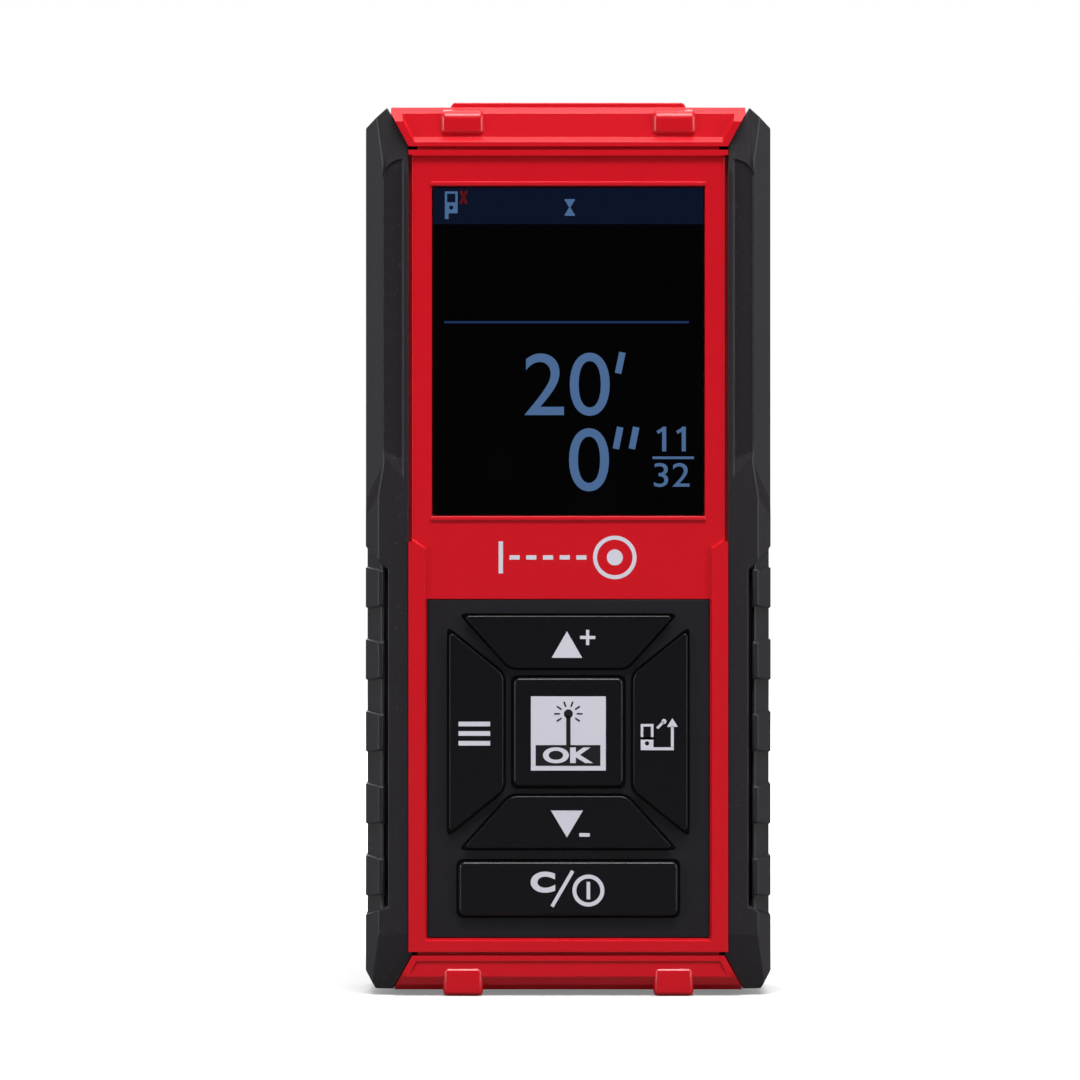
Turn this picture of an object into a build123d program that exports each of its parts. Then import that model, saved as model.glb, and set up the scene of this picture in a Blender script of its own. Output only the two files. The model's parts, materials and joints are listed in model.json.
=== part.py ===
"""Handheld laser distance meter: housings, soft grips, display, keypad, optics and battery bay.

Millimetres. +Z runs up the meter from its feet to its optics, the display faces -Y, and the
origin is below the middle of the body, level with the feet.
"""

import os
from math import hypot

from build123d import *

os.makedirs("parts", exist_ok=True)

# Overall size
width = 56.0
height = 123.2
depth = 28.0

# Walls and gaps
wall = 1.8
front_wall = 2.4
back_wall = 2.2
seat_gap = 0.15
move_gap = 0.2
pivot_gap = 0.05
screw_gap = 0.05
edge_round = 0.35

# Levels across the depth, measured back from the keys' faces
rail_drop = 0.6
panel_drop = 0.5
split_depth = 11.0

# Soft grips: how far each covers the face and the side, and its facets
grip_face = 6.0
grip_side = 2.6
grip_edge_drop = 0.2
facet_width = 1.8
facet_drop = 1.2
facet_run = 4.2
shoulder = 2.0
shoulder_rise = 3.0
grip_foot_chamfer = (1.4, 2.4)
grip_top_chamfer = (3.0, 2.7)

# Raised pads of the grips
pad_count = 5
pad_pitch = 9.95
pad_height = 5.1
pad_top = 58.9
pad_reach = 3.2
pad_depth = 0.5

# End caps
top_cap_height = 5.5
bottom_cap_height = 4.8
cap_flare = 2.6
top_corner = 0.7
bottom_corner = 0.1
foot_taper = 0.5
cap_lip = 0.6
cap_slope = 1.7
cap_front_drop = 0.2
end_groove = 0.5
groove_inset = 1.2
foot_height = 0.8
foot_width = 5.4
foot_spacing = 29.0
foot_front_height = 4.0
foot_back_inset = 2.0
band_half = 16.3
band_height = 0.7
band_inset = 0.6
band_corner = 1.5
bump_width = 5.9
bump_height = 3.5
bump_proud = 0.9

# Face: recessed panel, window, keypad fascia
rail_width = 2.2
upper_rail_width = 0.4
rail_step_gap = 6.3
rail_step_rise = 1.2
rim_band = 1.0
fascia_bottom = 8.0
fascia_margin = 0.3
fascia_top_margin = 2.3
fascia_thickness = 1.0
fascia_proud = 0.1
brand_band = 11.4
window_side_margin = 2.8
window_top_margin = 4.0
window_thickness = 1.2
window_sunk = 0.2
window_ledge = 0.8
window_corner = 0.6

# Keys
key_travel = 0.6
key_margin = 3.1
key_gap = 1.3
key_room = 0.35
key_corner = 0.5
key_flange = 0.45
key_flange_thickness = 0.6
key_stem_radius = 1.3
ok_half_width = 7.6
ok_half_height = 7.5
arrow_height = 7.2
arrow_outer_inset = 1.9
side_outer_inset = 2.05
corner_overlap = 0.4
power_gap = 1.8
power_height = 7.5
power_bottom = 11.1
power_inset = 1.3
mat_margin = 0.6
dome_radius = 2.4
dome_height = 0.25
dome_room = 0.6
press_gap = 0.05

# Display stack and main board
gasket_thickness = 0.5
gasket_width = 0.9
display_thickness = 1.7
display_inset = 0.6
board_thickness = 1.2
board_half = 17.3
board_bottom = 9.6
board_notch = (2.2, 5.2)
board_screw_x = 14.5
post_radius = 2.2

# Screws of the housings
boss_x = 18.8
boss_end_gap = 3.2
boss_radius = 2.6
boss_length = 5.5
screw_radius = 1.0
screw_head_radius = 1.9
screw_head_height = 1.4
screw_seat = 4.0
screw_thread = 4.5
gusset = 1.8

# Batteries and their bay
battery_radius = 5.25
battery_length = 44.5
battery_gap = 0.8
button_radius = 1.9
button_height = 1.2
bay_gap = 0.35
bay_wall = 1.4
bay_bottom = 11.0
plate = 0.4
spring_height = 4.2
spring_wire = 0.3
spring_turns = 4
leg_width = 2.0
leg_x = 3.5

# Battery door
door_half = 14.5
door_bottom = 8.7
door_overrun = 5.5
door_gap = 0.25
door_lift = 0.1
door_ledge = 1.6
ledge_thickness = 1.4
pin_radius = 0.6
pin_length = 1.4
latch_half = 4.0
latch_reach = 2.4
latch_thickness = 1.0
latch_nose = 0.4
latch_room = 0.5
door_seal_width = 0.9
door_seal_depth = 0.6
seal_inset = 0.5
seal_width = 0.8
seal_depth = 0.8
scoop_radius = 8.0
scoop_depth = 1.3

# Optics
lens_x = -6.2
lens_radius = 5.4
lens_thickness = 2.6
laser_x = 8.6
barrel_radius = 3.6
barrel_length = 14.0
lens_lip = 0.4
sensor_room = 2.0
optics_board_inset = 2.0
optics_board_shift = 1.0
barrel_bore = 2.4
beam_radius = 2.5
tunnel_radius = 4.6
sensor_radius = 2.7
sensor_height = 2.4
chassis_half = 15.3
chassis_depth = 14.4
chassis_room = 0.1
nose_half = 14.2
nose_depth = 13.2
nose_rise = 3.0
nose_gap = 0.2
ear_reach = 4.4
ear_height = 5.6
ear_thickness = 2.0
optics_board_gap = 0.6
optics_window_size = (29.0, 12.4)
optics_window_thickness = 1.2
optics_window_sunk = 0.3
optics_window_ledge = 1.2

# Levels worked out from the sizes above
front = -depth / 2
back = depth / 2
rail_y = front + rail_drop
panel_y = rail_y + panel_drop
inner_front = rail_y + front_wall
inner_back = back - back_wall
split_y = front + split_depth
board_y = inner_front + gasket_thickness + display_thickness
board_back = board_y + board_thickness

side_half = width / 2 - grip_side
face_half = width / 2 - grip_face
panel_half = face_half - rail_width
upper_panel_half = face_half - upper_rail_width
fascia_half = panel_half - fascia_margin
block_half = fascia_half - key_margin
window_half = upper_panel_half - window_side_margin

body_top = height - band_height
bottom_rim_z = foot_height + bottom_cap_height
top_rim_z = body_top - top_cap_height
housing_bottom = bottom_rim_z + end_groove
housing_top = top_rim_z - end_groove
panel_top = housing_top - rim_band
arrow_inner_z = ok_half_height + key_gap
block_half_height = arrow_inner_z + arrow_height
ok_z = power_bottom + power_height + power_gap + block_half_height
fascia_top = ok_z + block_half_height + fascia_top_margin
fascia_height = fascia_top - fascia_bottom
rail_step_z = fascia_top + rail_step_gap
window_bottom = fascia_top + brand_band
window_top = panel_top - window_top_margin
top_wall_z = housing_top - wall
bay_half = battery_gap / 2 + 2 * battery_radius + bay_gap
battery_x = battery_gap / 2 + battery_radius
battery_y = inner_back - bay_gap - battery_radius
bay_floor = battery_y - battery_radius - bay_gap
bay_top = bay_bottom + battery_length + spring_height + 2 * plate
door_top = bay_top + door_overrun
door_thickness = back_wall - door_lift
pivot_y = back - door_thickness / 2
pivot_z = door_bottom + door_thickness / 2
ledge_top = door_top + door_ledge
optics_board_z = ledge_top + optics_board_gap
chassis_bottom = optics_board_z + board_thickness
chassis_y = inner_back - chassis_room - chassis_depth / 2
nose_top = top_wall_z + wall + nose_rise
lens_seat = nose_top - lens_thickness - lens_lip

screw_places = [
    (side * boss_x, z)
    for side in (-1, 1)
    for z in (housing_bottom + wall + boss_end_gap, housing_top - wall - boss_end_gap)
]
board_screw_z = fascia_top + brand_band / 2
ear_z = (chassis_bottom + top_wall_z) / 2
FROM_FRONT = (Align.CENTER, Align.MIN, Align.CENTER)
FROM_BASE = (Align.CENTER, Align.CENTER, Align.MIN)


def facing(y):
    """Plane across the meter at depth y: its normal points out of the display, its up is +Z."""
    return Plane.XZ.offset(-y)


def mirrored(points):
    """An outline whose right half is given, closed by its mirror image in the YZ plane."""
    return points + [(-x, y) for x, y in reversed(points)]


def housing_section(inset, front_y, back_y):
    """Level section of the housings, its sides and shoulders moved in by inset."""
    slope = shoulder_rise / (side_half - face_half)
    shift = inset * (hypot(1, slope) - slope)
    return mirrored(
        [
            (face_half - inset, front_y),
            (face_half - inset, rail_y + shoulder + shift),
            (side_half - inset, rail_y + shoulder + shoulder_rise + shift),
            (side_half - inset, back - shoulder - shoulder_rise - shift),
            (face_half - inset, back - shoulder - shift),
            (face_half - inset, back_y),
        ]
    )


def save(part, label):
    """Name a finished piece and write it as its own STEP file."""
    part.label = label
    export_step(part, f"parts/{label}.step")


# ---------------------------------------------------------------- housings

recess_outline = mirrored(
    [
        (panel_half, fascia_bottom - fascia_margin),
        (panel_half, rail_step_z),
        (upper_panel_half, rail_step_z + rail_step_rise),
        (upper_panel_half, panel_top),
    ]
)
inner_size = (housing_bottom + wall, top_wall_z)
window_size = (2 * window_half, window_top - window_bottom)
keys_size = (
    2 * (block_half + key_flange + key_room),
    ok_z + block_half_height - power_bottom + 2 * (key_flange + key_room),
)
keys_z = (ok_z + block_half_height + power_bottom) / 2
window_z = (window_top + window_bottom) / 2
fascia_z = fascia_bottom + fascia_height / 2

with BuildPart() as front_housing:
    with BuildSketch(Plane.XY.offset(housing_bottom)):
        with BuildLine():
            Polyline(*housing_section(0, rail_y, back), close=True)
        make_face()
    extrude(amount=housing_top - housing_bottom)
    with BuildSketch(Plane.XY.offset(inner_size[0])):
        with BuildLine():
            Polyline(*housing_section(wall, inner_front, inner_back), close=True)
        make_face()
    extrude(amount=inner_size[1] - inner_size[0], mode=Mode.SUBTRACT)
    split(bisect_by=facing(split_y), keep=Keep.TOP)
    # The face is sunk between two side rails, which are wider beside the keypad.
    with BuildSketch(facing(rail_y)):
        with BuildLine():
            Polyline(*recess_outline, close=True)
        make_face()
    extrude(amount=-panel_drop, mode=Mode.SUBTRACT)
    # Window pocket, and the smaller opening behind its ledge
    with BuildSketch(facing(panel_y)):
        with Locations((0, window_z)):
            RectangleRounded(*window_size, window_corner)
    extrude(amount=-window_thickness - window_sunk, mode=Mode.SUBTRACT)
    with BuildSketch(facing(panel_y)):
        with Locations((0, window_z)):
            Rectangle(window_size[0] - 2 * window_ledge, window_size[1] - 2 * window_ledge)
    extrude(amount=-front_wall, mode=Mode.SUBTRACT)
    # Fascia pocket, and the opening that the keys work in
    with BuildSketch(facing(panel_y)):
        with Locations((0, fascia_z)):
            Rectangle(2 * fascia_half, fascia_height)
    extrude(amount=fascia_proud - fascia_thickness, mode=Mode.SUBTRACT)
    with BuildSketch(facing(panel_y)):
        with Locations((0, keys_z)):
            Rectangle(*keys_size)
    extrude(amount=-front_wall, mode=Mode.SUBTRACT)
    # Screw bosses, each tied to the side wall by a gusset
    for x, z in screw_places:
        with Locations((x + (side_half - wall / 2 - boss_x) / 2 * x / boss_x, split_y, z)):
            Box(
                side_half - wall / 2 - boss_x,
                boss_length - gusset,
                gusset,
                align=(Align.CENTER, Align.MAX, Align.CENTER),
            )
    with BuildSketch(facing(split_y)):
        with Locations(*screw_places):
            Circle(boss_radius)
    extrude(amount=boss_length)
    with BuildSketch(facing(split_y)):
        with Locations(*screw_places):
            Circle(screw_radius + screw_gap)
    extrude(amount=screw_thread + screw_gap, mode=Mode.SUBTRACT)
    # Posts that the main board is screwed to
    with BuildSketch(facing(inner_front)):
        with Locations((-board_screw_x, board_screw_z), (board_screw_x, board_screw_z)):
            Circle(post_radius)
            Circle(screw_radius + screw_gap, mode=Mode.SUBTRACT)
    extrude(amount=inner_front - board_y)
save(front_housing.part, "front_housing")

bay_size = (2 * bay_half, bay_top - bay_bottom)
bay_z = (bay_top + bay_bottom) / 2
door_opening = (2 * (door_half + door_gap), door_top - door_bottom + 2 * door_gap)
door_z = (door_top + door_bottom) / 2
latch_z = bay_top + door_overrun / 2
ear_x = chassis_half + ear_reach / 2

with BuildPart() as rear_housing:
    with BuildSketch(Plane.XY.offset(housing_bottom)):
        with BuildLine():
            Polyline(*housing_section(0, rail_y, back), close=True)
        make_face()
    extrude(amount=housing_top - housing_bottom)
    with BuildSketch(Plane.XY.offset(inner_size[0])):
        with BuildLine():
            Polyline(*housing_section(wall, inner_front, inner_back), close=True)
        make_face()
    extrude(amount=inner_size[1] - inner_size[0], mode=Mode.SUBTRACT)
    split(bisect_by=facing(split_y), keep=Keep.BOTTOM)
    # Battery tub and the ledge that the door lies on
    with BuildSketch(facing(inner_back)):
        with Locations((0, bay_z)):
            Rectangle(bay_size[0] + 2 * bay_wall, bay_size[1] + 2 * bay_wall)
    extrude(amount=inner_back - bay_floor + bay_wall)
    with BuildSketch(facing(inner_back)):
        with Locations((0, door_z)):
            Rectangle(door_opening[0] + 2 * door_ledge, door_opening[1] + 2 * door_ledge)
    extrude(amount=ledge_thickness)
    with BuildSketch(facing(back)):
        with Locations((0, bay_z)):
            Rectangle(*bay_size)
    extrude(amount=back - bay_floor, mode=Mode.SUBTRACT)
    with BuildSketch(facing(back)):
        with Locations((0, door_z)):
            Rectangle(*door_opening)
    extrude(amount=back_wall, mode=Mode.SUBTRACT)
    # Groove of the door seal and slot of the latch
    with BuildSketch(facing(inner_back)):
        with Locations((0, bay_z)):
            Rectangle(
                bay_size[0] + 2 * (seal_inset + door_seal_width),
                bay_size[1] + 2 * (seal_inset + door_seal_width),
            )
            Rectangle(
                bay_size[0] + 2 * seal_inset,
                bay_size[1] + 2 * seal_inset,
                mode=Mode.SUBTRACT,
            )
    extrude(amount=door_seal_depth, mode=Mode.SUBTRACT)
    with BuildSketch(facing(inner_back)):
        with Locations((0, latch_z)):
            Rectangle(2 * (latch_half + latch_room), latch_thickness + 2 * latch_nose + 2 * latch_room)
    extrude(amount=ledge_thickness, mode=Mode.SUBTRACT)
    # Sockets of the door's pivot pins, and the scoop for a fingertip above its latch
    with BuildSketch(Plane.YZ):
        with Locations((pivot_y, pivot_z)):
            Circle(pin_radius + pivot_gap)
    extrude(amount=door_half + pin_length + door_gap, both=True, mode=Mode.SUBTRACT)
    with Locations((0, back + scoop_radius - scoop_depth, door_top + door_gap)):
        Sphere(scoop_radius, mode=Mode.SUBTRACT)
    # Slots that the contact legs leave the tub by
    with BuildSketch(facing(bay_floor)):
        with Locations((-leg_x, bay_bottom + plate), (leg_x, bay_bottom + plate)):
            Rectangle(leg_width + 2 * move_gap, 2 * plate)
    extrude(amount=bay_wall, mode=Mode.SUBTRACT)
    # Posts for the optics chassis
    with BuildSketch(facing(inner_back)):
        with Locations((-ear_x, ear_z), (ear_x, ear_z)):
            Circle(post_radius)
    extrude(amount=inner_back - chassis_y + chassis_depth / 2 - ear_thickness)
    with BuildSketch(facing(chassis_y - chassis_depth / 2 + ear_thickness)):
        with Locations((-ear_x, ear_z), (ear_x, ear_z)):
            Circle(screw_radius + screw_gap)
    extrude(amount=-screw_thread - screw_gap, mode=Mode.SUBTRACT)
    # Opening for the nose of the chassis in the top wall
    with BuildSketch(Plane.XY.offset(top_wall_z)):
        with Locations((0, chassis_y)):
            Rectangle(2 * (nose_half + nose_gap), nose_depth + 2 * nose_gap)
    extrude(amount=wall, mode=Mode.SUBTRACT)
    # Screw bosses with sunk seats for the heads
    for x, z in screw_places:
        with Locations((x + (side_half - wall / 2 - boss_x) / 2 * x / boss_x, split_y, z)):
            Box(side_half - wall / 2 - boss_x, screw_seat, gusset, align=FROM_FRONT)
    with BuildSketch(facing(split_y)):
        with Locations(*screw_places):
            Circle(boss_radius)
    extrude(amount=split_y - inner_back)
    with BuildSketch(facing(back)):
        with Locations(*screw_places):
            Circle(screw_head_radius + move_gap)
    extrude(amount=back - split_y - screw_seat, mode=Mode.SUBTRACT)
    with BuildSketch(facing(back)):
        with Locations(*screw_places):
            Circle(screw_radius + screw_gap)
    extrude(amount=back - split_y, mode=Mode.SUBTRACT)
    # Groove of the housing seal round the rim
    with BuildSketch(facing(split_y)):
        with Locations((0, (housing_top + housing_bottom) / 2)):
            Rectangle(2 * (side_half - seal_inset), housing_top - housing_bottom - 2 * seal_inset)
            Rectangle(
                2 * (side_half - seal_inset - seal_width),
                housing_top - housing_bottom - 2 * (seal_inset + seal_width),
                mode=Mode.SUBTRACT,
            )
    extrude(amount=-seal_depth, mode=Mode.SUBTRACT)
save(rear_housing.part, "rear_housing")

with BuildPart() as housing_seal:
    with BuildSketch(facing(split_y)):
        with Locations((0, (housing_top + housing_bottom) / 2)):
            Rectangle(2 * (side_half - seal_inset), housing_top - housing_bottom - 2 * seal_inset)
            Rectangle(
                2 * (side_half - seal_inset - seal_width),
                housing_top - housing_bottom - 2 * (seal_inset + seal_width),
                mode=Mode.SUBTRACT,
            )
    extrude(amount=-seal_depth)
save(housing_seal.part, "housing_seal")

driver_share = 0.45
slot_share = 0.5


def screws(places, seat_y, shaft_length, toward_back):
    """Pan-head screws whose heads bear on the plane y = seat_y."""
    turn = 1 if toward_back else -1
    with BuildPart() as group:
        with BuildSketch(facing(seat_y)):
            with Locations(*places):
                Circle(screw_head_radius)
        extrude(amount=-turn * screw_head_height)
        with BuildSketch(facing(seat_y + turn * screw_head_height)):
            with Locations(*places):
                Circle(screw_head_radius * driver_share)
                Rectangle(screw_head_radius, screw_radius * slot_share, mode=Mode.ADD)
        extrude(amount=turn * screw_head_height * slot_share, mode=Mode.SUBTRACT)
        with BuildSketch(facing(seat_y)):
            with Locations(*places):
                Circle(screw_radius)
        extrude(amount=turn * shaft_length)
    return group.part


save(
    screws(screw_places, split_y + screw_seat, screw_seat + screw_thread, True),
    "housing_screws",
)

# ---------------------------------------------------------------- soft grips

housing_height = housing_top - housing_bottom
grip_half = width / 2
facet_x = grip_half - facet_width
grip_base = foot_height + bottom_corner
bottom_face_half = face_half - foot_taper
pad_x = grip_half - pad_reach
grip_section = [
    (bottom_face_half, rail_y + grip_edge_drop),
    (facet_x, rail_y + facet_drop),
    (grip_half, rail_y + facet_run),
    (grip_half, back - facet_run),
    (facet_x, back - facet_drop),
    (bottom_face_half, back - grip_edge_drop),
]
grip_silhouette = [
    (bottom_face_half, bottom_rim_z),
    (bottom_face_half + cap_flare, grip_base),
    (grip_half - grip_foot_chamfer[0], grip_base),
    (grip_half, grip_base + grip_foot_chamfer[1]),
    (grip_half, body_top - grip_top_chamfer[1]),
    (grip_half - grip_top_chamfer[0], body_top),
    (face_half + cap_flare, body_top - top_corner),
    (face_half, top_rim_z),
    (face_half, housing_bottom),
    (bottom_face_half, housing_bottom),
]
pad_lean = 0.74
pad_recess = [
    (pad_x, rail_y + facet_drop * pad_lean + pad_depth),
    (facet_x - pad_depth / 2, rail_y + facet_drop + pad_depth),
    (grip_half - pad_depth, rail_y + facet_run + pad_depth / 2),
    (grip_half - pad_depth, back - facet_run - pad_depth / 2),
    (facet_x - pad_depth / 2, back - facet_drop - pad_depth),
    (pad_x, back - facet_drop * pad_lean - pad_depth),
    (pad_x, back + pad_depth),
    (grip_half + pad_depth, back + pad_depth),
    (grip_half + pad_depth, front - pad_depth),
    (pad_x, front - pad_depth),
]


def grip():
    """Right-hand grip: moulded over the housings' side, with solid bumpers past both their ends."""
    with BuildPart() as shell:
        with BuildSketch(Plane.XY.offset(grip_base)):
            with BuildLine():
                Polyline(*grip_section, close=True)
            make_face()
        extrude(amount=body_top - grip_base)
        with BuildSketch(facing(front)):
            with BuildLine():
                Polyline(*grip_silhouette, close=True)
            make_face()
        extrude(amount=-depth, mode=Mode.INTERSECT)
        with BuildSketch(Plane.XY.offset(housing_bottom)):
            with BuildLine():
                Polyline(*housing_section(0, rail_y, back), close=True)
            make_face()
        extrude(amount=housing_height, mode=Mode.SUBTRACT)
        for row in range(1, pad_count):
            with BuildSketch(Plane.XY.offset(pad_top - row * pad_pitch)):
                with BuildLine():
                    Polyline(*pad_recess, close=True)
                make_face()
            extrude(amount=pad_pitch - pad_height, mode=Mode.SUBTRACT)
    return shell.part


right_side = grip()
save(mirror(right_side, about=Plane.YZ), "left_grip")
save(right_side, "right_grip")

# ---------------------------------------------------------------- end caps

cap_back = back - grip_edge_drop
cap_face = rail_y + cap_front_drop
foot_places = (-foot_spacing / 2, foot_spacing / 2)
cap_bow = 0.8
foot_root = 1.0


def cap_shape(half, rim_z, end_z, corner):
    """Cap between the grips: flared to its end, with a hollowed slope beyond a square lip."""
    up = 1 if end_z > rim_z else -1
    outline = mirrored(
        [
            (half, rim_z),
            (half + cap_flare, end_z - up * corner),
            (half + cap_flare - corner, end_z),
        ]
    )
    with BuildPart() as cap:
        with BuildSketch(Plane.YZ):
            with BuildLine():
                Polyline(
                    (cap_face + cap_slope, end_z - up * edge_round),
                    (cap_face + cap_slope + edge_round, end_z),
                    (cap_back - cap_slope, end_z),
                    (cap_back, end_z - up * cap_slope),
                    (cap_back, rim_z),
                    (cap_face, rim_z),
                    (cap_face, rim_z + up * cap_lip),
                )
                ThreePointArc(
                    (cap_face, rim_z + up * cap_lip),
                    (cap_face + cap_slope * cap_bow, (rim_z + end_z) / 2),
                    (cap_face + cap_slope, end_z - up * edge_round),
                )
            make_face()
        extrude(amount=half + cap_flare, both=True)
        with BuildSketch(facing(cap_face)):
            with BuildLine():
                Polyline(*outline, close=True)
            make_face()
        extrude(amount=cap_face - cap_back, mode=Mode.INTERSECT)
    return cap.part


top_shape = cap_shape(face_half - seat_gap, top_rim_z, body_top, top_corner)
bottom_shape = cap_shape(bottom_face_half - seat_gap, bottom_rim_z, foot_height, bottom_corner)

with BuildPart() as top_cap:
    add(top_shape)
    # Seat on the housings' ends, which leaves a groove round the joint
    with BuildSketch(Plane.XY.offset(housing_top)):
        with Locations((0, (rail_y + back) / 2)):
            Rectangle(2 * (face_half - groove_inset), back - rail_y - 2 * groove_inset)
    extrude(amount=end_groove)
    # Raised band round the optics window
    with BuildSketch(Plane.XY.offset(body_top - edge_round)):
        with Locations((0, (cap_face + cap_back) / 2)):
            RectangleRounded(
                2 * band_half, cap_back - cap_face - 2 * (cap_slope + band_inset), band_corner
            )
    extrude(amount=band_height + edge_round)
    chamfer(top_cap.faces().sort_by(Axis.Z)[-1].edges(), length=edge_round)
    # Rounded buffers on the sloping front
    for x in foot_places:
        with Locations((x, cap_face + cap_slope - bump_proud, body_top - edge_round)):
            Box(bump_width, 2 * bump_proud, bump_height, align=(Align.CENTER, Align.MIN, Align.MAX))
    # Window pocket, light opening and the room for the nose of the chassis
    with BuildSketch(Plane.XY.offset(height)):
        with Locations((0, chassis_y)):
            Rectangle(optics_window_size[0] + 2 * seat_gap, optics_window_size[1] + 2 * seat_gap)
    extrude(amount=-optics_window_thickness - optics_window_sunk, mode=Mode.SUBTRACT)
    with BuildSketch(Plane.XY.offset(height)):
        with Locations((0, chassis_y)):
            Rectangle(
                optics_window_size[0] - 2 * optics_window_ledge,
                optics_window_size[1] - 2 * optics_window_ledge,
            )
    extrude(amount=housing_top - height, mode=Mode.SUBTRACT)
    with BuildSketch(Plane.XY.offset(housing_top)):
        with Locations((0, chassis_y)):
            Rectangle(2 * (nose_half + nose_gap), nose_depth + 2 * nose_gap)
    extrude(amount=nose_rise + nose_gap, mode=Mode.SUBTRACT)
save(top_cap.part, "top_cap")

with BuildPart() as bottom_cap:
    add(bottom_shape)
    with BuildSketch(Plane.XY.offset(housing_bottom)):
        with Locations((0, (rail_y + back) / 2)):
            Rectangle(2 * (face_half - groove_inset), back - rail_y - 2 * groove_inset)
    extrude(amount=-end_groove)
    for x in foot_places:
        with Locations((x, cap_face, 0)):
            Box(foot_width, cap_slope + foot_root, foot_front_height, align=(Align.CENTER, Align.MIN, Align.MIN))
        with Locations((x, cap_face, 0)):
            Box(
                foot_width,
                cap_back - cap_face - foot_back_inset,
                foot_height + foot_root,
                align=(Align.CENTER, Align.MIN, Align.MIN),
            )
save(bottom_cap.part, "bottom_cap")

# ---------------------------------------------------------------- display

opening = (window_size[0] - 2 * window_ledge, window_size[1] - 2 * window_ledge)
display_size = (window_size[0] - 2 * display_inset, window_size[1])

with BuildPart() as display_window:
    with BuildSketch(facing(panel_y + window_sunk)):
        with Locations((0, window_z)):
            RectangleRounded(
                window_size[0] - 2 * seat_gap, window_size[1] - 2 * seat_gap, window_corner
            )
    extrude(amount=-window_thickness)
save(display_window.part, "display_window")

with BuildPart() as display_gasket:
    with BuildSketch(facing(inner_front)):
        with Locations((0, window_z)):
            Rectangle(opening[0] + 2 * gasket_width, opening[1] + 2 * gasket_width)
            Rectangle(*opening, mode=Mode.SUBTRACT)
    extrude(amount=-gasket_thickness)
save(display_gasket.part, "display_gasket")

with BuildPart() as display_module:
    with BuildSketch(facing(board_y)):
        with Locations((0, window_z)):
            Rectangle(*display_size)
    extrude(amount=display_thickness)
save(display_module.part, "display_module")

# ---------------------------------------------------------------- keypad

arrow_inner_half = ok_half_width + corner_overlap
arrow_outer_half = block_half - arrow_outer_inset
side_inner_x = ok_half_width + key_gap
side_inner_half = ok_half_height + corner_overlap
side_outer_half = block_half_height - side_outer_inset
power_half = block_half - power_inset
arrow_outline = [
    (arrow_inner_half, ok_z + arrow_inner_z),
    (arrow_outer_half, ok_z + arrow_inner_z + arrow_height),
    (-arrow_outer_half, ok_z + arrow_inner_z + arrow_height),
    (-arrow_inner_half, ok_z + arrow_inner_z),
]
side_outline = [
    (side_inner_x, ok_z - side_inner_half),
    (block_half, ok_z - side_outer_half),
    (block_half, ok_z + side_outer_half),
    (side_inner_x, ok_z + side_inner_half),
]
key_outlines = {
    "key_up": arrow_outline,
    "key_down": [(x, 2 * ok_z - z) for x, z in arrow_outline],
    "key_reference": side_outline,
    "key_menu": [(-x, z) for x, z in side_outline],
    "key_ok": [
        (-ok_half_width, ok_z - ok_half_height),
        (ok_half_width, ok_z - ok_half_height),
        (ok_half_width, ok_z + ok_half_height),
        (-ok_half_width, ok_z + ok_half_height),
    ],
    "key_power": [
        (-power_half, power_bottom),
        (power_half, power_bottom),
        (power_half, power_bottom + power_height),
        (-power_half, power_bottom + power_height),
    ],
}


def middle(outline):
    """Middle of an outline's bounding rectangle, where its stem stands."""
    xs, zs = zip(*outline)
    return ((min(xs) + max(xs)) / 2, (min(zs) + max(zs)) / 2)


stem_places = [middle(outline) for outline in key_outlines.values()]
fascia_front = panel_y - fascia_proud
fascia_back = fascia_front + fascia_thickness
flange_front = fascia_back + press_gap
flange_back = flange_front + key_flange_thickness
stem_tip = board_y - dome_height - press_gap - key_travel
mat_front = flange_back + key_travel + press_gap


def key(outline):
    """A key: rounded cap through the fascia, a flange that holds it in, and a stem to its dome."""
    with BuildPart() as cap:
        with BuildSketch(facing(front)):
            with BuildLine():
                Polyline(*outline, close=True)
            shape = make_face()
            fillet(shape.vertices(), radius=key_corner)
        extrude(amount=front - flange_back)
        fillet(cap.faces().sort_by(Axis.Y)[0].edges(), radius=edge_round)
        with BuildSketch(facing(flange_front)):
            with BuildLine():
                Polyline(*outline, close=True)
            make_face()
            offset(amount=key_flange, kind=Kind.INTERSECTION)
        extrude(amount=-key_flange_thickness)
        with BuildSketch(facing(flange_back)):
            with Locations(middle(outline)):
                Circle(key_stem_radius)
        extrude(amount=flange_back - stem_tip)
    return cap.part


for name, outline in key_outlines.items():
    save(key(outline), name)

with BuildPart() as keypad_fascia:
    with BuildSketch(facing(fascia_front)):
        with Locations((0, fascia_z)):
            Rectangle(2 * (fascia_half - seat_gap), fascia_height - 2 * seat_gap)
    extrude(amount=-fascia_thickness)
    for outline in key_outlines.values():
        with BuildSketch(facing(fascia_front)):
            with BuildLine():
                Polyline(*outline, close=True)
            make_face()
            offset(amount=move_gap, kind=Kind.INTERSECTION)
        extrude(amount=-fascia_thickness, mode=Mode.SUBTRACT)
save(keypad_fascia.part, "keypad_fascia")

with BuildPart() as keypad_mat:
    with BuildSketch(facing(mat_front)):
        with Locations((0, keys_z)):
            Rectangle(keys_size[0] - 2 * mat_margin, keys_size[1] - 2 * mat_margin)
        with Locations(*stem_places):
            Circle(dome_radius + dome_room, mode=Mode.SUBTRACT)
    extrude(amount=mat_front - board_y)
save(keypad_mat.part, "keypad_mat")

dome_slope = 0.6
with BuildPart() as dome_switches:
    with BuildSketch(facing(board_y)):
        with Locations(*stem_places):
            Circle(dome_radius)
    extrude(amount=dome_height)
    chamfer(dome_switches.faces().group_by(Axis.Y)[0].edges(), length=dome_height * dome_slope)
save(dome_switches.part, "dome_switches")

# ---------------------------------------------------------------- electronics

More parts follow.
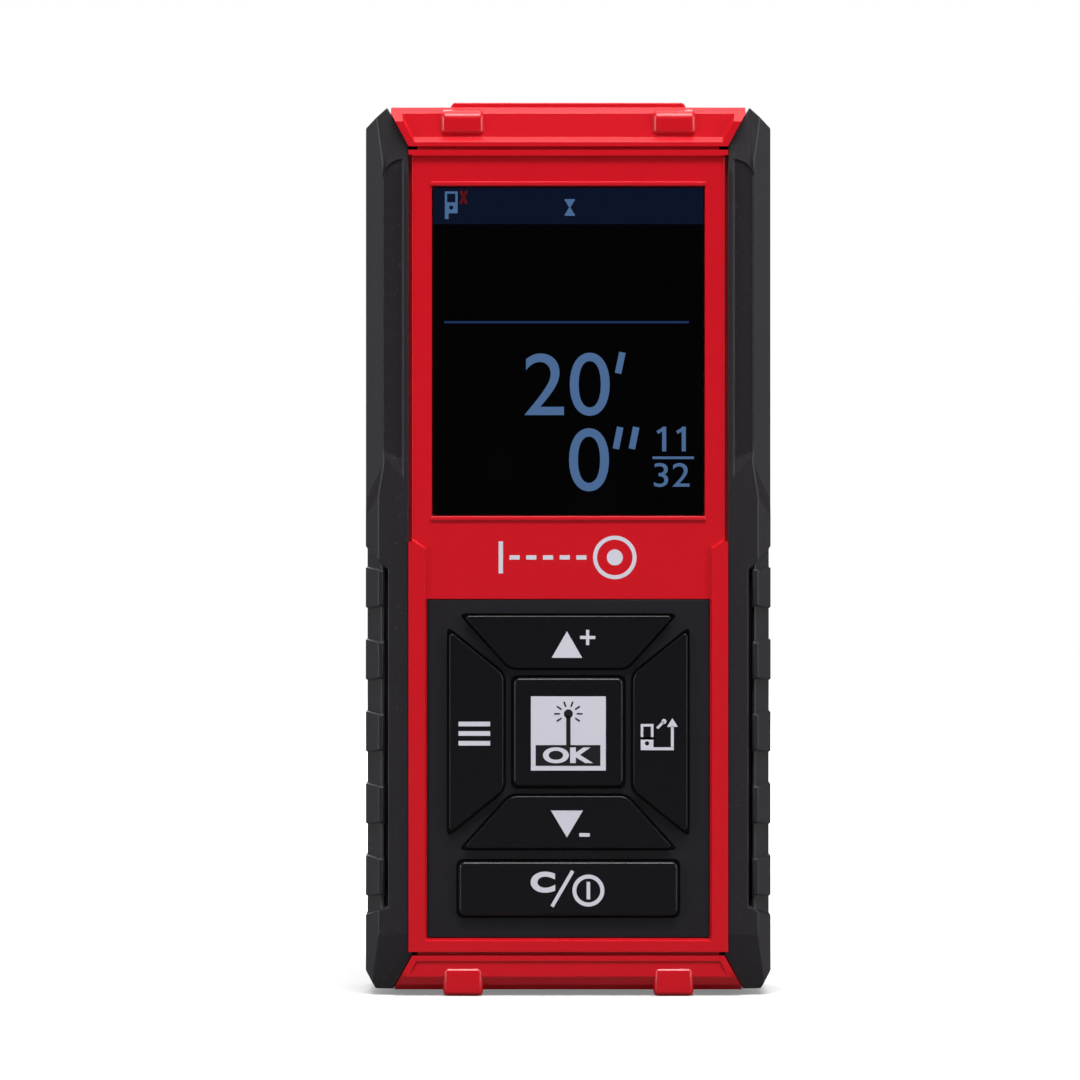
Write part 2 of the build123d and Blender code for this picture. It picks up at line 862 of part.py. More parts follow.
board_top = housing_top - wall - 2 * boss_end_gap
board_outline = mirrored(
    [
        (board_half - board_notch[0], board_bottom),
        (board_half - board_notch[0], board_bottom + board_notch[1]),
        (board_half, board_bottom + board_notch[1]),
        (board_half, board_top),
    ]
)

with BuildPart() as main_board:
    with BuildSketch(facing(board_y)):
        with BuildLine():
            Polyline(*board_outline, close=True)
        make_face()
        with Locations((-board_screw_x, board_screw_z), (board_screw_x, board_screw_z)):
            Circle(screw_radius + move_gap, mode=Mode.SUBTRACT)
    extrude(amount=-board_thickness)
save(main_board.part, "main_board")

save(
    screws(
        [(-board_screw_x, board_screw_z), (board_screw_x, board_screw_z)],
        board_back,
        board_y - inner_front + board_thickness - press_gap,
        True,
    ),
    "board_screws",
)

flex_thickness = 0.2
flex_half = 4.5
chip_size = 10.0
chip_height = 1.0
chip_chamfer = 0.4
chip_gap = 0.8
chip_z = optics_board_z + 2 * flex_thickness + chip_gap + chip_size / 2
with BuildPart() as processor_chip:
    with Locations((0, board_back, chip_z)):
        Box(chip_size, chip_height, chip_size, align=FROM_FRONT)
    chamfer(processor_chip.edges().filter_by(Axis.Y), length=chip_chamfer)
save(processor_chip.part, "processor_chip")

component_size = (1.6, 0.8, 0.9)
component_rows = 4
component_pitch = 3.2
component_x = chip_size / 2 + 3.0
connector_size = (11.0, 1.0, 2.4)
connector_z = window_bottom - 4.0
with BuildPart() as board_components:
    for row in range(component_rows):
        for side in (-1, 1):
            component_z = chip_z + (row - (component_rows - 1) / 2) * component_pitch
            with Locations((side * component_x, board_back, component_z)):
                Box(*component_size, align=FROM_FRONT)
    with Locations((0, board_y, connector_z)):
        Box(*connector_size, align=(Align.CENTER, Align.MAX, Align.CENTER))
save(board_components.part, "board_components")

buzzer_radius = 4.5
buzzer_height = 2.4
buzzer_drop = 14.0
buzzer_hole_depth = 0.8
buzzer_z = board_screw_z - buzzer_drop
with BuildPart() as buzzer:
    with BuildSketch(facing(board_back)):
        with Locations((0, buzzer_z)):
            Circle(buzzer_radius)
    extrude(amount=-buzzer_height)
    with BuildSketch(facing(board_back + buzzer_height)):
        with Locations((0, buzzer_z)):
            Circle(screw_radius)
    extrude(amount=buzzer_hole_depth, mode=Mode.SUBTRACT)
save(buzzer.part, "buzzer")

with BuildPart() as display_flex:
    with BuildSketch(Plane.YZ):
        with BuildLine():
            Polyline(
                (board_y - connector_size[1], connector_z),
                (board_y - connector_size[1] - flex_thickness, connector_z),
                (board_y - connector_size[1] - flex_thickness, window_bottom),
                (board_y - connector_size[1], window_bottom),
                close=True,
            )
        make_face()
    extrude(amount=flex_half, both=True)
save(display_flex.part, "display_flex")

# ---------------------------------------------------------------- optics

with BuildPart() as optics_chassis:
    with Locations((0, chassis_y, chassis_bottom)):
        Box(2 * chassis_half, chassis_depth, top_wall_z - chassis_bottom, align=FROM_BASE)
    with Locations((0, chassis_y, top_wall_z)):
        Box(2 * nose_half, nose_depth, nose_top - top_wall_z, align=FROM_BASE)
    with Locations((0, chassis_y - chassis_depth / 2, ear_z)):
        Box(2 * (chassis_half + ear_reach), ear_thickness, ear_height, align=FROM_FRONT)
    with BuildSketch(facing(chassis_y - chassis_depth / 2)):
        with Locations((-ear_x, ear_z), (ear_x, ear_z)):
            Circle(screw_radius + move_gap)
    extrude(amount=-ear_thickness, mode=Mode.SUBTRACT)
    # Receiving tunnel, its lens seat and the seat of its sensor
    with BuildSketch(Plane.XY.offset(nose_top)):
        with Locations((lens_x, chassis_y)):
            Circle(lens_radius + screw_gap)
    extrude(amount=lens_seat - nose_top, mode=Mode.SUBTRACT)
    with BuildSketch(Plane.XY.offset(lens_seat)):
        with Locations((lens_x, chassis_y)):
            Circle(tunnel_radius)
    extrude(amount=chassis_bottom + sensor_height + sensor_room - lens_seat, mode=Mode.SUBTRACT)
    with BuildSketch(Plane.XY.offset(chassis_bottom)):
        with Locations((lens_x, chassis_y)):
            Circle(sensor_radius + seat_gap)
    extrude(amount=sensor_height + sensor_room, mode=Mode.SUBTRACT)
    # Bore of the laser barrel and the beam's way out
    with BuildSketch(Plane.XY.offset(chassis_bottom)):
        with Locations((laser_x, chassis_y)):
            Circle(barrel_radius + screw_gap)
    extrude(amount=barrel_length, mode=Mode.SUBTRACT)
    with BuildSketch(Plane.XY.offset(nose_top)):
        with Locations((laser_x, chassis_y)):
            Circle(beam_radius)
    extrude(amount=chassis_bottom + barrel_length - nose_top, mode=Mode.SUBTRACT)
save(optics_chassis.part, "optics_chassis")

save(
    screws(
        [(-ear_x, ear_z), (ear_x, ear_z)],
        chassis_y - chassis_depth / 2,
        ear_thickness + screw_thread,
        False,
    ),
    "chassis_screws",
)

with BuildPart() as optics_window:
    with BuildSketch(Plane.XY.offset(height - optics_window_sunk)):
        with Locations((0, chassis_y)):
            Rectangle(*optics_window_size)
    extrude(amount=-optics_window_thickness)
save(optics_window.part, "optics_window")

lens_sag = lens_thickness / 2
lens_curve = (lens_radius**2 + lens_sag**2) / (2 * lens_sag)
with BuildPart() as receiver_lens:
    with BuildSketch(Plane.XY.offset(lens_seat)):
        with Locations((lens_x, chassis_y)):
            Circle(lens_radius)
    extrude(amount=lens_thickness)
    with Locations((lens_x, chassis_y, lens_seat + lens_thickness - lens_curve)):
        Sphere(lens_curve, mode=Mode.INTERSECT)
save(receiver_lens.part, "receiver_lens")

diode_height = 3.0
diode_can_share = 0.7
collimator_thickness = 1.6
with BuildPart() as laser_barrel:
    with BuildSketch(Plane.XY.offset(chassis_bottom)):
        with Locations((laser_x, chassis_y)):
            Circle(barrel_radius)
            Circle(barrel_bore, mode=Mode.SUBTRACT)
    extrude(amount=barrel_length)
save(laser_barrel.part, "laser_barrel")

with BuildPart() as laser_diode:
    with BuildSketch(Plane.XY.offset(chassis_bottom)):
        with Locations((laser_x, chassis_y)):
            Circle(barrel_bore - screw_gap)
    extrude(amount=diode_height / 3)
    with BuildSketch(Plane.XY.offset(chassis_bottom + diode_height / 3)):
        with Locations((laser_x, chassis_y)):
            Circle(barrel_bore * diode_can_share)
    extrude(amount=2 * diode_height / 3)
save(laser_diode.part, "laser_diode")

with BuildPart() as collimator_lens:
    with BuildSketch(Plane.XY.offset(chassis_bottom + barrel_length - 2 * collimator_thickness)):
        with Locations((laser_x, chassis_y)):
            Circle(barrel_bore - screw_gap)
    extrude(amount=collimator_thickness)
    fillet(collimator_lens.faces().sort_by(Axis.Z)[-1].edges(), radius=collimator_thickness / 2)
save(collimator_lens.part, "collimator_lens")

with BuildPart() as receiver_sensor:
    with BuildSketch(Plane.XY.offset(chassis_bottom)):
        with Locations((lens_x, chassis_y)):
            Circle(sensor_radius)
    extrude(amount=sensor_height)
save(receiver_sensor.part, "receiver_sensor")

optics_board_depth = chassis_depth - 2 * optics_board_inset
optics_board_y = chassis_y - optics_board_shift
with BuildPart() as optics_board:
    with Locations((0, optics_board_y, optics_board_z)):
        Box(2 * chassis_half, optics_board_depth, board_thickness, align=FROM_BASE)
save(optics_board.part, "optics_board")

flex_y = optics_board_y - optics_board_depth / 2
flex_tail = 4.0
with BuildPart() as optics_flex:
    with BuildSketch(Plane.YZ):
        with BuildLine():
            Polyline(
                (board_back, optics_board_z - flex_tail),
                (board_back + flex_thickness, optics_board_z - flex_tail),
                (board_back + flex_thickness, optics_board_z + flex_thickness),
                (flex_y, optics_board_z + flex_thickness),
                (flex_y, optics_board_z + 2 * flex_thickness),
                (board_back, optics_board_z + 2 * flex_thickness),
                close=True,
            )
        make_face()
    extrude(amount=flex_half, both=True)
save(optics_flex.part, "optics_flex")

# ---------------------------------------------------------------- battery bay


def battery(x, base_z, button_up):
    """AAA cell, with its raised button at one end."""
    sleeve = battery_length - button_height
    sleeve_z = base_z if button_up else base_z + button_height
    with BuildPart() as cell:
        with Locations((x, battery_y, sleeve_z)):
            Cylinder(battery_radius, sleeve, align=FROM_BASE)
        fillet(cell.edges(), radius=edge_round)
        with Locations((x, battery_y, base_z + sleeve / 2 if button_up else base_z)):
            Cylinder(button_radius, button_height + sleeve / 2, align=FROM_BASE)
    return cell.part


left_cell_z = bay_bottom + plate
right_cell_z = left_cell_z + spring_height
save(battery(-battery_x, left_cell_z, False), "battery_left")
save(battery(battery_x, right_cell_z, True), "battery_right")

contact_margin = 0.6
contact_half = battery_radius - contact_margin
with BuildPart() as bridge_contact:
    with Locations((0, battery_y, bay_top - plate)):
        Box(2 * (battery_x + contact_half), 2 * contact_half, plate, align=FROM_BASE)
save(bridge_contact.part, "bridge_contact")


def end_contact(side):
    """Spring-steel plate at the foot of one cell, with a leg through the tub to the main board."""
    with BuildPart() as contact:
        with Locations((side * battery_x, battery_y, bay_bottom)):
            Box(2 * contact_half, 2 * contact_half, plate, align=FROM_BASE)
        with Locations((side * leg_x, board_back, bay_bottom)):
            Box(
                leg_width,
                battery_y - board_back,
                plate,
                align=(Align.CENTER, Align.MIN, Align.MIN),
            )
    return contact.part


save(end_contact(-1), "positive_contact")
save(end_contact(1), "negative_contact")

spring_margin = 2.0


def coil(x, base_z):
    """Coil of one contact: touching at both ends, its wire swept along a helix."""
    radius = battery_radius - spring_margin
    pitch = (spring_height - 2 * spring_wire) / spring_turns
    with BuildPart() as spring:
        with BuildLine() as path:
            Helix(
                pitch,
                pitch * spring_turns,
                radius,
                center=(x, battery_y, base_z + spring_wire),
            )
        with BuildSketch(Plane(path.line @ 0, z_dir=path.line % 0)):
            Circle(spring_wire)
        sweep(is_frenet=True)
    return spring.part


with BuildPart() as battery_springs:
    add(coil(battery_x, left_cell_z))
    add(coil(-battery_x, left_cell_z + battery_length))
save(battery_springs.part, "battery_springs")

with BuildPart() as door_seal:
    with BuildSketch(facing(inner_back)):
        with Locations((0, bay_z)):
            Rectangle(
                bay_size[0] + 2 * (seal_inset + door_seal_width),
                bay_size[1] + 2 * (seal_inset + door_seal_width),
            )
            Rectangle(
                bay_size[0] + 2 * seal_inset,
                bay_size[1] + 2 * seal_inset,
                mode=Mode.SUBTRACT,
            )
    extrude(amount=door_seal_depth)
save(door_seal.part, "door_seal")

grooves = 3
groove_size = (12.0, 0.8, 1.0)
groove_pitch = 2.4
groove_drop = 4.0
with BuildPart() as battery_door:
    # Plate with a full-round lower edge about the pivot line
    with BuildSketch(facing(back)):
        with Locations((0, (pivot_z + door_top) / 2)):
            Rectangle(2 * door_half, door_top - pivot_z)
    extrude(amount=door_thickness)
    with BuildSketch(Plane.YZ):
        with Locations((pivot_y, pivot_z)):
            Circle(door_thickness / 2)
    extrude(amount=door_half, both=True)
    with BuildSketch(Plane.YZ):
        with Locations((pivot_y, pivot_z)):
            Circle(pin_radius)
    extrude(amount=door_half + pin_length, both=True)
    # Latch leg, with a nose towards its catch
    with BuildSketch(Plane.YZ):
        with BuildLine():
            Polyline(
                (pivot_y, latch_z - latch_thickness / 2),
                (pivot_y, latch_z + latch_thickness / 2),
                (inner_back - latch_reach + 2 * latch_nose, latch_z + latch_thickness / 2),
                (inner_back - latch_reach + latch_nose, latch_z + latch_thickness / 2 + latch_nose),
                (inner_back - latch_reach, latch_z + latch_thickness / 2),
                (inner_back - latch_reach, latch_z - latch_thickness / 2),
                close=True,
            )
        make_face()
    extrude(amount=latch_half, both=True)
    # Grip grooves under the latch
    for row in range(grooves):
        with Locations((0, back, door_top - groove_drop - groove_pitch * row)):
            Box(*groove_size, mode=Mode.SUBTRACT)
save(battery_door.part, "battery_door")
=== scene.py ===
"""Looks of a handheld laser distance meter: soft grips, end caps, housing, keypad, screen and studio.

Metres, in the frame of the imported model: +Z up the meter, -Y out of its screen.
"""

import json
from contextlib import contextmanager
from math import atan2, cos, hypot, pi, radians, sin

import bmesh
import bpy
from mathutils import Matrix, Vector

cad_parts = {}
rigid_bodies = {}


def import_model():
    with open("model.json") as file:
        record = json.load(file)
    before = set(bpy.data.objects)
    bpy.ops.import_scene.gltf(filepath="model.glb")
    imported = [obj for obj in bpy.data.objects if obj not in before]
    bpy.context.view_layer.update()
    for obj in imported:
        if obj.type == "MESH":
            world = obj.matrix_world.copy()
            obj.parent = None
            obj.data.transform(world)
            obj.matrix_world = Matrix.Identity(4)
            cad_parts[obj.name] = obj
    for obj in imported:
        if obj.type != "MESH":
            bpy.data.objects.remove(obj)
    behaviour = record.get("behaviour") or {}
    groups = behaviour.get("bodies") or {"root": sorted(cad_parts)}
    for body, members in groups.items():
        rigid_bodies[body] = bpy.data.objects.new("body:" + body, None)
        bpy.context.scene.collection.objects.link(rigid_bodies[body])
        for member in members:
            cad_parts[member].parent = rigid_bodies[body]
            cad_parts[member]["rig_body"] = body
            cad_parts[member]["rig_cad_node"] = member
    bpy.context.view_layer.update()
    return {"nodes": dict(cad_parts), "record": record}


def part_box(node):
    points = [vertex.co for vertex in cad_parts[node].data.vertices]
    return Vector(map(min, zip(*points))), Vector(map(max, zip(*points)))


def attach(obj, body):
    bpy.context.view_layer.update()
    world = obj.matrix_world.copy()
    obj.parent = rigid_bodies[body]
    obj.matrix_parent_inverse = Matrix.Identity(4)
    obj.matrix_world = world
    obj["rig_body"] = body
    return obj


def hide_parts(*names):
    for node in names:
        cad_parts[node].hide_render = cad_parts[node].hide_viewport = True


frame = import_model()

bl_info = {
    "name": "Laser Distance Meter",
    "version": (1, 0, 0),
    "blender": (4, 5, 0),
    "location": "View3D > Sidebar > Meter",
    "description": "Models and finishes the visible pieces of a handheld laser distance meter",
    "category": "Object",
}

MM = 0.001
SIDES = (-1, 1)
# Points closer than this are one point, in millimetres
SAME_POINT = 0.002
# The same, where unclamped rounding needs its shortest edges gone
LOOSE_POINT = 0.03


def linear(hex_colour):
    """Linear colour of an sRGB hex value."""
    channels = [(hex_colour >> shift & 255) / 255 for shift in (16, 8, 0)]
    return [c / 12.92 if c <= 0.04045 else ((c + 0.055) / 1.055) ** 2.4 for c in channels]


# ---------------------------------------------------------------- settings


def length(name, description, value):
    """A length that the sidebar shows, given in millimetres."""
    return bpy.props.FloatProperty(
        name=name, description=description, default=value * MM, min=0, unit="LENGTH", precision=5
    )


def watts(name, description, value):
    """The power of a lamp."""
    return bpy.props.FloatProperty(name=name, description=description, default=value, min=0, unit="POWER")


def colour(name, description, hex_colour):
    """A colour that the sidebar shows, given as an sRGB hex value."""
    return bpy.props.FloatVectorProperty(
        name=name, description=description, default=linear(hex_colour), min=0, max=1, subtype="COLOR"
    )


class MeterSizes(bpy.types.PropertyGroup):
    """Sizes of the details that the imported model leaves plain."""

    soft_edge: length("Soft edge", "Rounding of the grips' edges", 0.17)
    hard_edge: length("Hard edge", "Rounding of the plastic pieces' edges", 0.2)
    block_edge: length("Block edge", "Rounding of the buffers and feet", 0.95)
    band_edge: length("Band edge", "Rounding of the raised band round the optics", 0.5)
    fine_edge: length("Fine edge", "Rounding of the rear housing's and the door's edges", 0.15)
    key_edge: length("Key edge", "Rounding round the face of a key", 0.5)
    key_corner: length("Key corner", "Rounding of a key's corners, seen from the front", 0.9)
    panel_sunk: length("Panel depth", "How far the long panels of the grips are sunk", 0.5)
    band_sunk: length("Band depth", "How far the grips are sunk between their pads", 0.6)
    ink: length("Ink", "Thickness of a printed mark", 0.02)


class MeterColours(bpy.types.PropertyGroup):
    """Colours of the visible materials."""

    shell: colour("Shell", "Moulded ABS of the housings and caps", 0xD0081C)
    grip: colour("Grip", "Overmoulded elastomer", 0x1B171D)
    fascia: colour("Fascia", "Moulded plate round the keys", 0x16131B)
    key: colour("Keys", "Silicone-rubber keys", 0x0B0910)
    ink: colour("Ink", "Printed marks", 0xD6D4E0)
    figures: colour("Figures", "Lit figures of the screen", 0x4A6891)
    status: colour("Status bar", "Lit strip at the top of the screen", 0x0A1226)
    divider: colour("Divider", "Lit line across the screen", 0x1F3158)
    alert: colour("Alert", "Lit mark beside the status icons", 0x5A1010)


class StudioSettings(bpy.types.PropertyGroup):
    """Camera and lamps."""

    distance: bpy.props.FloatProperty(
        name="Distance", description="From the keys to the camera", default=0.8, min=0.3, unit="LENGTH"
    )
    view_height: length("View height", "Height of what the camera takes in", 148.5)
    aim: bpy.props.FloatVectorProperty(
        name="Aim",
        description="Where the camera looks, across and up",
        default=(-3.9 * MM, 62.8 * MM),
        size=2,
        unit="LENGTH",
        precision=5,
    )
    key_power: watts("Key light", "Softbox above the front", 20.5)
    top_power: watts("Top light", "Softbox overhead", 7)
    side_power: watts("Side light", "Strip lights on both sides", 6)
    rim_power: watts("Rim light", "Strip lights a little behind", 1.8)
    back_power: watts("Back light", "Softbox behind", 9)
    ambient: bpy.props.FloatProperty(
        name="Ambient", description="Light from the room all round", default=0.02, min=0
    )


# ---------------------------------------------------------------- modelling


def deselect():
    """Nothing selected, in object mode."""
    if bpy.context.object and bpy.context.object.mode != "OBJECT":
        bpy.ops.object.mode_set(mode="OBJECT")
    bpy.ops.object.select_all(action="DESELECT")


def activate(*pieces):
    """Selects the pieces alone, the first one active."""
    deselect()
    for piece in pieces:
        piece.select_set(True)
    bpy.context.view_layer.objects.active = pieces[0]


@contextmanager
def editing(piece, kind="FACE"):
    """Edit mode on one piece, with nothing selected, and its mesh for choosing by place."""
    activate(piece)
    bpy.ops.object.mode_set(mode="EDIT")
    bpy.ops.mesh.select_mode(type=kind)
    bpy.ops.mesh.select_all(action="DESELECT")
    yield bmesh.from_edit_mesh(piece.data)
    bpy.ops.object.mode_set(mode="OBJECT")


def pick(mesh, test):
    """Selects the faces whose centre and normal pass the test."""
    for face in mesh.faces:
        face.select_set(test(face.calc_center_median(), face.normal))


def settle(piece, name):
    """Names a new primitive and moves its place into its mesh."""
    activate(piece)
    piece.name = name
    bpy.ops.object.transform_apply(location=True, rotation=True, scale=True)
    return piece


def block(name, low, high):
    """Cube that fills the box between two corners, in millimetres."""
    deselect()
    low, high = Vector(low) * MM, Vector(high) * MM
    bpy.ops.mesh.primitive_cube_add(size=1, location=(low + high) / 2, scale=high - low)
    return settle(bpy.context.object, name)


def drum(name, centre, radius, depth, sides=48):
    """Cylinder that stands out of the face, in millimetres, its depth along Y."""
    deselect()
    bpy.ops.mesh.primitive_cylinder_add(
        vertices=sides,
        radius=radius * MM,
        depth=depth * MM,
        location=Vector(centre) * MM,
        rotation=(pi / 2, 0, 0),
    )
    return settle(bpy.context.object, name)


def slice_off(piece, point, normal):
    """Cuts the piece by a plane and takes away what lies on the normal's side."""
    with editing(piece):
        bpy.ops.mesh.select_all(action="SELECT")
        bpy.ops.mesh.bisect(
            plane_co=Vector(point) * MM,
            plane_no=Vector(normal).normalized(),
            use_fill=True,
            clear_outer=True,
        )


def trim(piece, start, end, along, inset=0):
    """Cuts off what lies right of the line from start to end, drawn in the plane across an axis.

    The cut runs inset further in.
    """
    first, second = [i for i in range(3) if "XYZ"[i] != along]
    point, normal = Vector(), Vector()
    point[first], point[second] = start
    normal[first], normal[second] = end[1] - start[1], start[0] - end[0]
    normal.normalize()
    slice_off(piece, point - normal * inset, normal)


def profile(piece, points, along, inset=0):
    """Trims a piece along an outline drawn anticlockwise through some points."""
    for start, end in zip(points, points[1:]):
        trim(piece, start, end, along, inset)


def apply_modifier(piece, kind, **settings):
    """Adds a modifier, sets it up and applies it."""
    activate(piece)
    modifier = piece.modifiers.new(kind.lower(), kind)
    for key, value in settings.items():
        setattr(modifier, key, value)
    bpy.ops.object.modifier_apply(modifier=modifier.name)


def combine(piece, other, operation="DIFFERENCE"):
    """Cuts another shape out of the piece, or welds it on, and removes that shape."""
    apply_modifier(piece, "BOOLEAN", operation=operation, object=other, solver="EXACT")
    if not piece.data.polygons:
        raise RuntimeError(f"nothing is left of {piece.name} after {other.name}")
    bpy.data.objects.remove(other)


def carve(piece, name, low, high):
    """Cuts the box between two corners out of the piece."""
    combine(piece, block(name, low, high))


def weld(piece, name, low, high):
    """Welds the box between two corners onto the piece."""
    combine(piece, block(name, low, high), "UNION")


def tidy_mesh(piece, gap=SAME_POINT):
    """Merges points closer than a gap and joins flat neighbours, so that only real edges are left."""
    with editing(piece, "VERT"):
        bpy.ops.mesh.select_all(action="SELECT")
        bpy.ops.mesh.remove_doubles(threshold=gap * MM)
        bpy.ops.mesh.dissolve_limited(angle_limit=radians(0.5))


def soften(piece, width, segments=2, angle=30, clamp=True):
    """Rounds the edges and shades the flats flat and the rounds round."""
    tidy_mesh(piece, SAME_POINT if clamp else LOOSE_POINT)
    apply_modifier(
        piece,
        "BEVEL",
        width=width,
        segments=segments,
        limit_method="ANGLE",
        angle_limit=radians(angle),
        use_clamp_overlap=clamp,
    )
    bpy.ops.object.shade_smooth_by_angle(angle=radians(35))
    apply_modifier(piece, "WEIGHTED_NORMAL", mode="FACE_AREA", weight=90, keep_sharp=True)


def mirror_copy(piece, name, axis, at=0):
    """Mirror image of a piece about a plane across an axis, with its own mesh."""
    twin = piece.copy()
    twin.data = piece.data.copy()
    twin.name = name
    bpy.context.scene.collection.objects.link(twin)
    index = "XYZ".index(axis)
    scale, shift = Vector((1, 1, 1)), Vector()
    scale[index], shift[index] = -1, 2 * at * MM
    twin.data.transform(Matrix.Translation(shift) @ Matrix.Diagonal(scale).to_4x4())
    with editing(twin):
        bpy.ops.mesh.select_all(action="SELECT")
        bpy.ops.mesh.normals_make_consistent(inside=False)
    return twin


def join(pieces, name):
    """Joins pieces into the first one."""
    activate(*pieces)
    if len(pieces) > 1:
        bpy.ops.object.join()
    pieces[0].name = name
    pieces[0].data.name = name
    return pieces[0]


def double(piece, axis, at):
    """Completes a half piece by its mirror image about a plane across an axis."""
    index = "XYZ".index(axis)
    with editing(piece) as mesh:
        pick(mesh, lambda centre, normal: abs(centre[index] - at * MM) < 1e-6 and abs(normal[index]) > 0.99)
        bpy.ops.mesh.delete(type="FACE")
    whole = join([piece, mirror_copy(piece, "half", axis, at)], piece.name)
    with editing(whole, "VERT"):
        bpy.ops.mesh.select_all(action="SELECT")
        bpy.ops.mesh.remove_doubles(threshold=SAME_POINT * MM)
        bpy.ops.mesh.normals_make_consistent(inside=False)
    return whole


def corners(node):
    """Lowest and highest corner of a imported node, in millimetres."""
    low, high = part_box(node)
    return low / MM, high / MM


def place(piece, body, slot, material, *replaced):
    """Gives a finished piece its material and its body, and hides the imported nodes that it stands for."""
    piece.data.materials.clear()
    piece.data.materials.append(bpy.data.materials[material])
    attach(piece, body)
    if replaced:
        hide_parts(*replaced)


# ---------------------------------------------------------------- materials

# House dust: its linear colour, and the size of a speck in millimetres
HOUSE_DUST = (0.16, 0.155, 0.155, 1)
SPECK = 0.45
# Sockets of a colour mix
FACTOR, FIRST, SECOND, MIXED = 0, 6, 7, 2


def feed(tree, node, inputs):
    """Fills the inputs of a node with values or links."""
    for socket, value in inputs.items():
        if isinstance(value, bpy.types.NodeSocket):
            tree.links.new(value, node.inputs[socket])
        else:
            node.inputs[socket].default_value = value


def add(tree, kind, inputs=None, **settings):
    """Adds a node, sets its properties and feeds it."""
    node = tree.nodes.new(kind)
    for key, value in settings.items():
        setattr(node, key, value)
    feed(tree, node, inputs or {})
    return node


def blank(name):
    """A new material with a plain shader: its tree, the shader and the piece's own coordinates."""
    material = bpy.data.materials.new(name)
    material.use_nodes = True
    tree = material.node_tree
    return tree, tree.nodes["Principled BSDF"], add(tree, "ShaderNodeTexCoord").outputs["Object"]


def tint(base, factor):
    """A colour times a factor, with alpha."""
    return (*[min(1, channel * factor) for channel in base], 1)


def moulded(name, base, roughness, grain, relief, mottle=0.06, ior=1.49, dust=0.0, uneven=0.03):
    """Moulded polymer with an eroded grain of a given size and depth, in millimetres.

    Its colour drifts a little over the piece, its gloss varies, and dust settles in the grain.
    """
    tree, shader, place_at = blank(name)
    drift = add(tree, "ShaderNodeTexNoise", {"Vector": place_at, "Scale": 1 / (9 * MM), "Detail": 3})
    fine = add(tree, "ShaderNodeTexNoise", {"Vector": place_at, "Scale": 1 / (grain * MM), "Detail": 2})
    shades = {FACTOR: drift.outputs["Fac"], FIRST: tint(base, 1 - mottle), SECOND: tint(base, 1 + mottle)}
    surface = add(tree, "ShaderNodeMix", shades, data_type="RGBA").outputs[MIXED]
    if dust:
        spread = {"Vector": place_at, "Scale": 1 / (SPECK * MM), "Detail": 1}
        specks = add(tree, "ShaderNodeTexNoise", spread).outputs["Fac"]
        share = {"Value": specks, "From Min": 0.66, "From Max": 0.8, "To Max": dust}
        amount = add(tree, "ShaderNodeMapRange", share).outputs["Result"]
        dusted = {FACTOR: amount, FIRST: surface, SECOND: HOUSE_DUST}
        surface = add(tree, "ShaderNodeMix", dusted, data_type="RGBA").outputs[MIXED]
    reach = {"From Min": 0.3, "From Max": 0.7, "To Min": roughness - uneven, "To Max": roughness + uneven}
    gloss = add(tree, "ShaderNodeMapRange", {"Value": fine.outputs["Fac"], **reach})
    pits = {"Height": fine.outputs["Fac"], "Strength": 1.0, "Distance": relief * MM}
    bump = add(tree, "ShaderNodeBump", pits)
    look = {"Base Color": surface, "IOR": ior, "Roughness": gloss.outputs["Result"]}
    feed(tree, shader, {**look, "Normal": bump.outputs["Normal"]})


def lit(name, base):
    """Lit cells of the display behind the cover: glow in their own colour, finely rastered."""
    tree, shader, place_at = blank(name)
    raster = add(tree, "ShaderNodeTexNoise", {"Vector": place_at, "Scale": 1 / (0.25 * MM)})
    shades = {FACTOR: raster.outputs["Fac"], FIRST: tint(base, 0.94), SECOND: tint(base, 1.06)}
    look = {
        "Emission Color": add(tree, "ShaderNodeMix", shades, data_type="RGBA").outputs[MIXED],
        "Emission Strength": 1.0,
        "Base Color": (0, 0, 0, 1),
        "Roughness": 0.3,
        "Specular IOR Level": 0.1,
    }
    feed(tree, shader, look)


def glazing(name, smear, detail, reach, look):
    """Smooth plate whose gloss varies with faint smears of a given size, in millimetres."""
    tree, shader, place_at = blank(name)
    spread = {"Vector": place_at, "Scale": 1 / (smear * MM), "Detail": detail}
    smears = add(tree, "ShaderNodeTexNoise", spread)
    gloss = add(tree, "ShaderNodeMapRange", {"Value": smears.outputs["Fac"], **reach})
    feed(tree, shader, {**look, "Roughness": gloss.outputs["Result"]})


def metal(name, hex_colour, roughness):
    """Bare or plated metal with fine drawn lines and slightly uneven gloss."""
    tree, shader, place_at = blank(name)
    stretched = add(tree, "ShaderNodeMapping", {"Vector": place_at, "Scale": (1, 1, 0.05)})
    drawn = {"Vector": stretched.outputs["Vector"], "Scale": 1 / (0.3 * MM), "Detail": 3}
    lines = add(tree, "ShaderNodeTexNoise", drawn).outputs["Fac"]
    reach = {"Value": lines, "To Min": roughness * 0.7, "To Max": roughness * 1.3}
    gloss = add(tree, "ShaderNodeMapRange", reach)
    scratches = {"Height": lines, "Strength": 1.0, "Distance": 0.002 * MM}
    bump = add(tree, "ShaderNodeBump", scratches)
    look = {
        "Base Color": (*linear(hex_colour), 1),
        "Metallic": 1.0,
        "Roughness": gloss.outputs["Result"],
        "Normal": bump.outputs["Normal"],
    }
    feed(tree, shader, look)


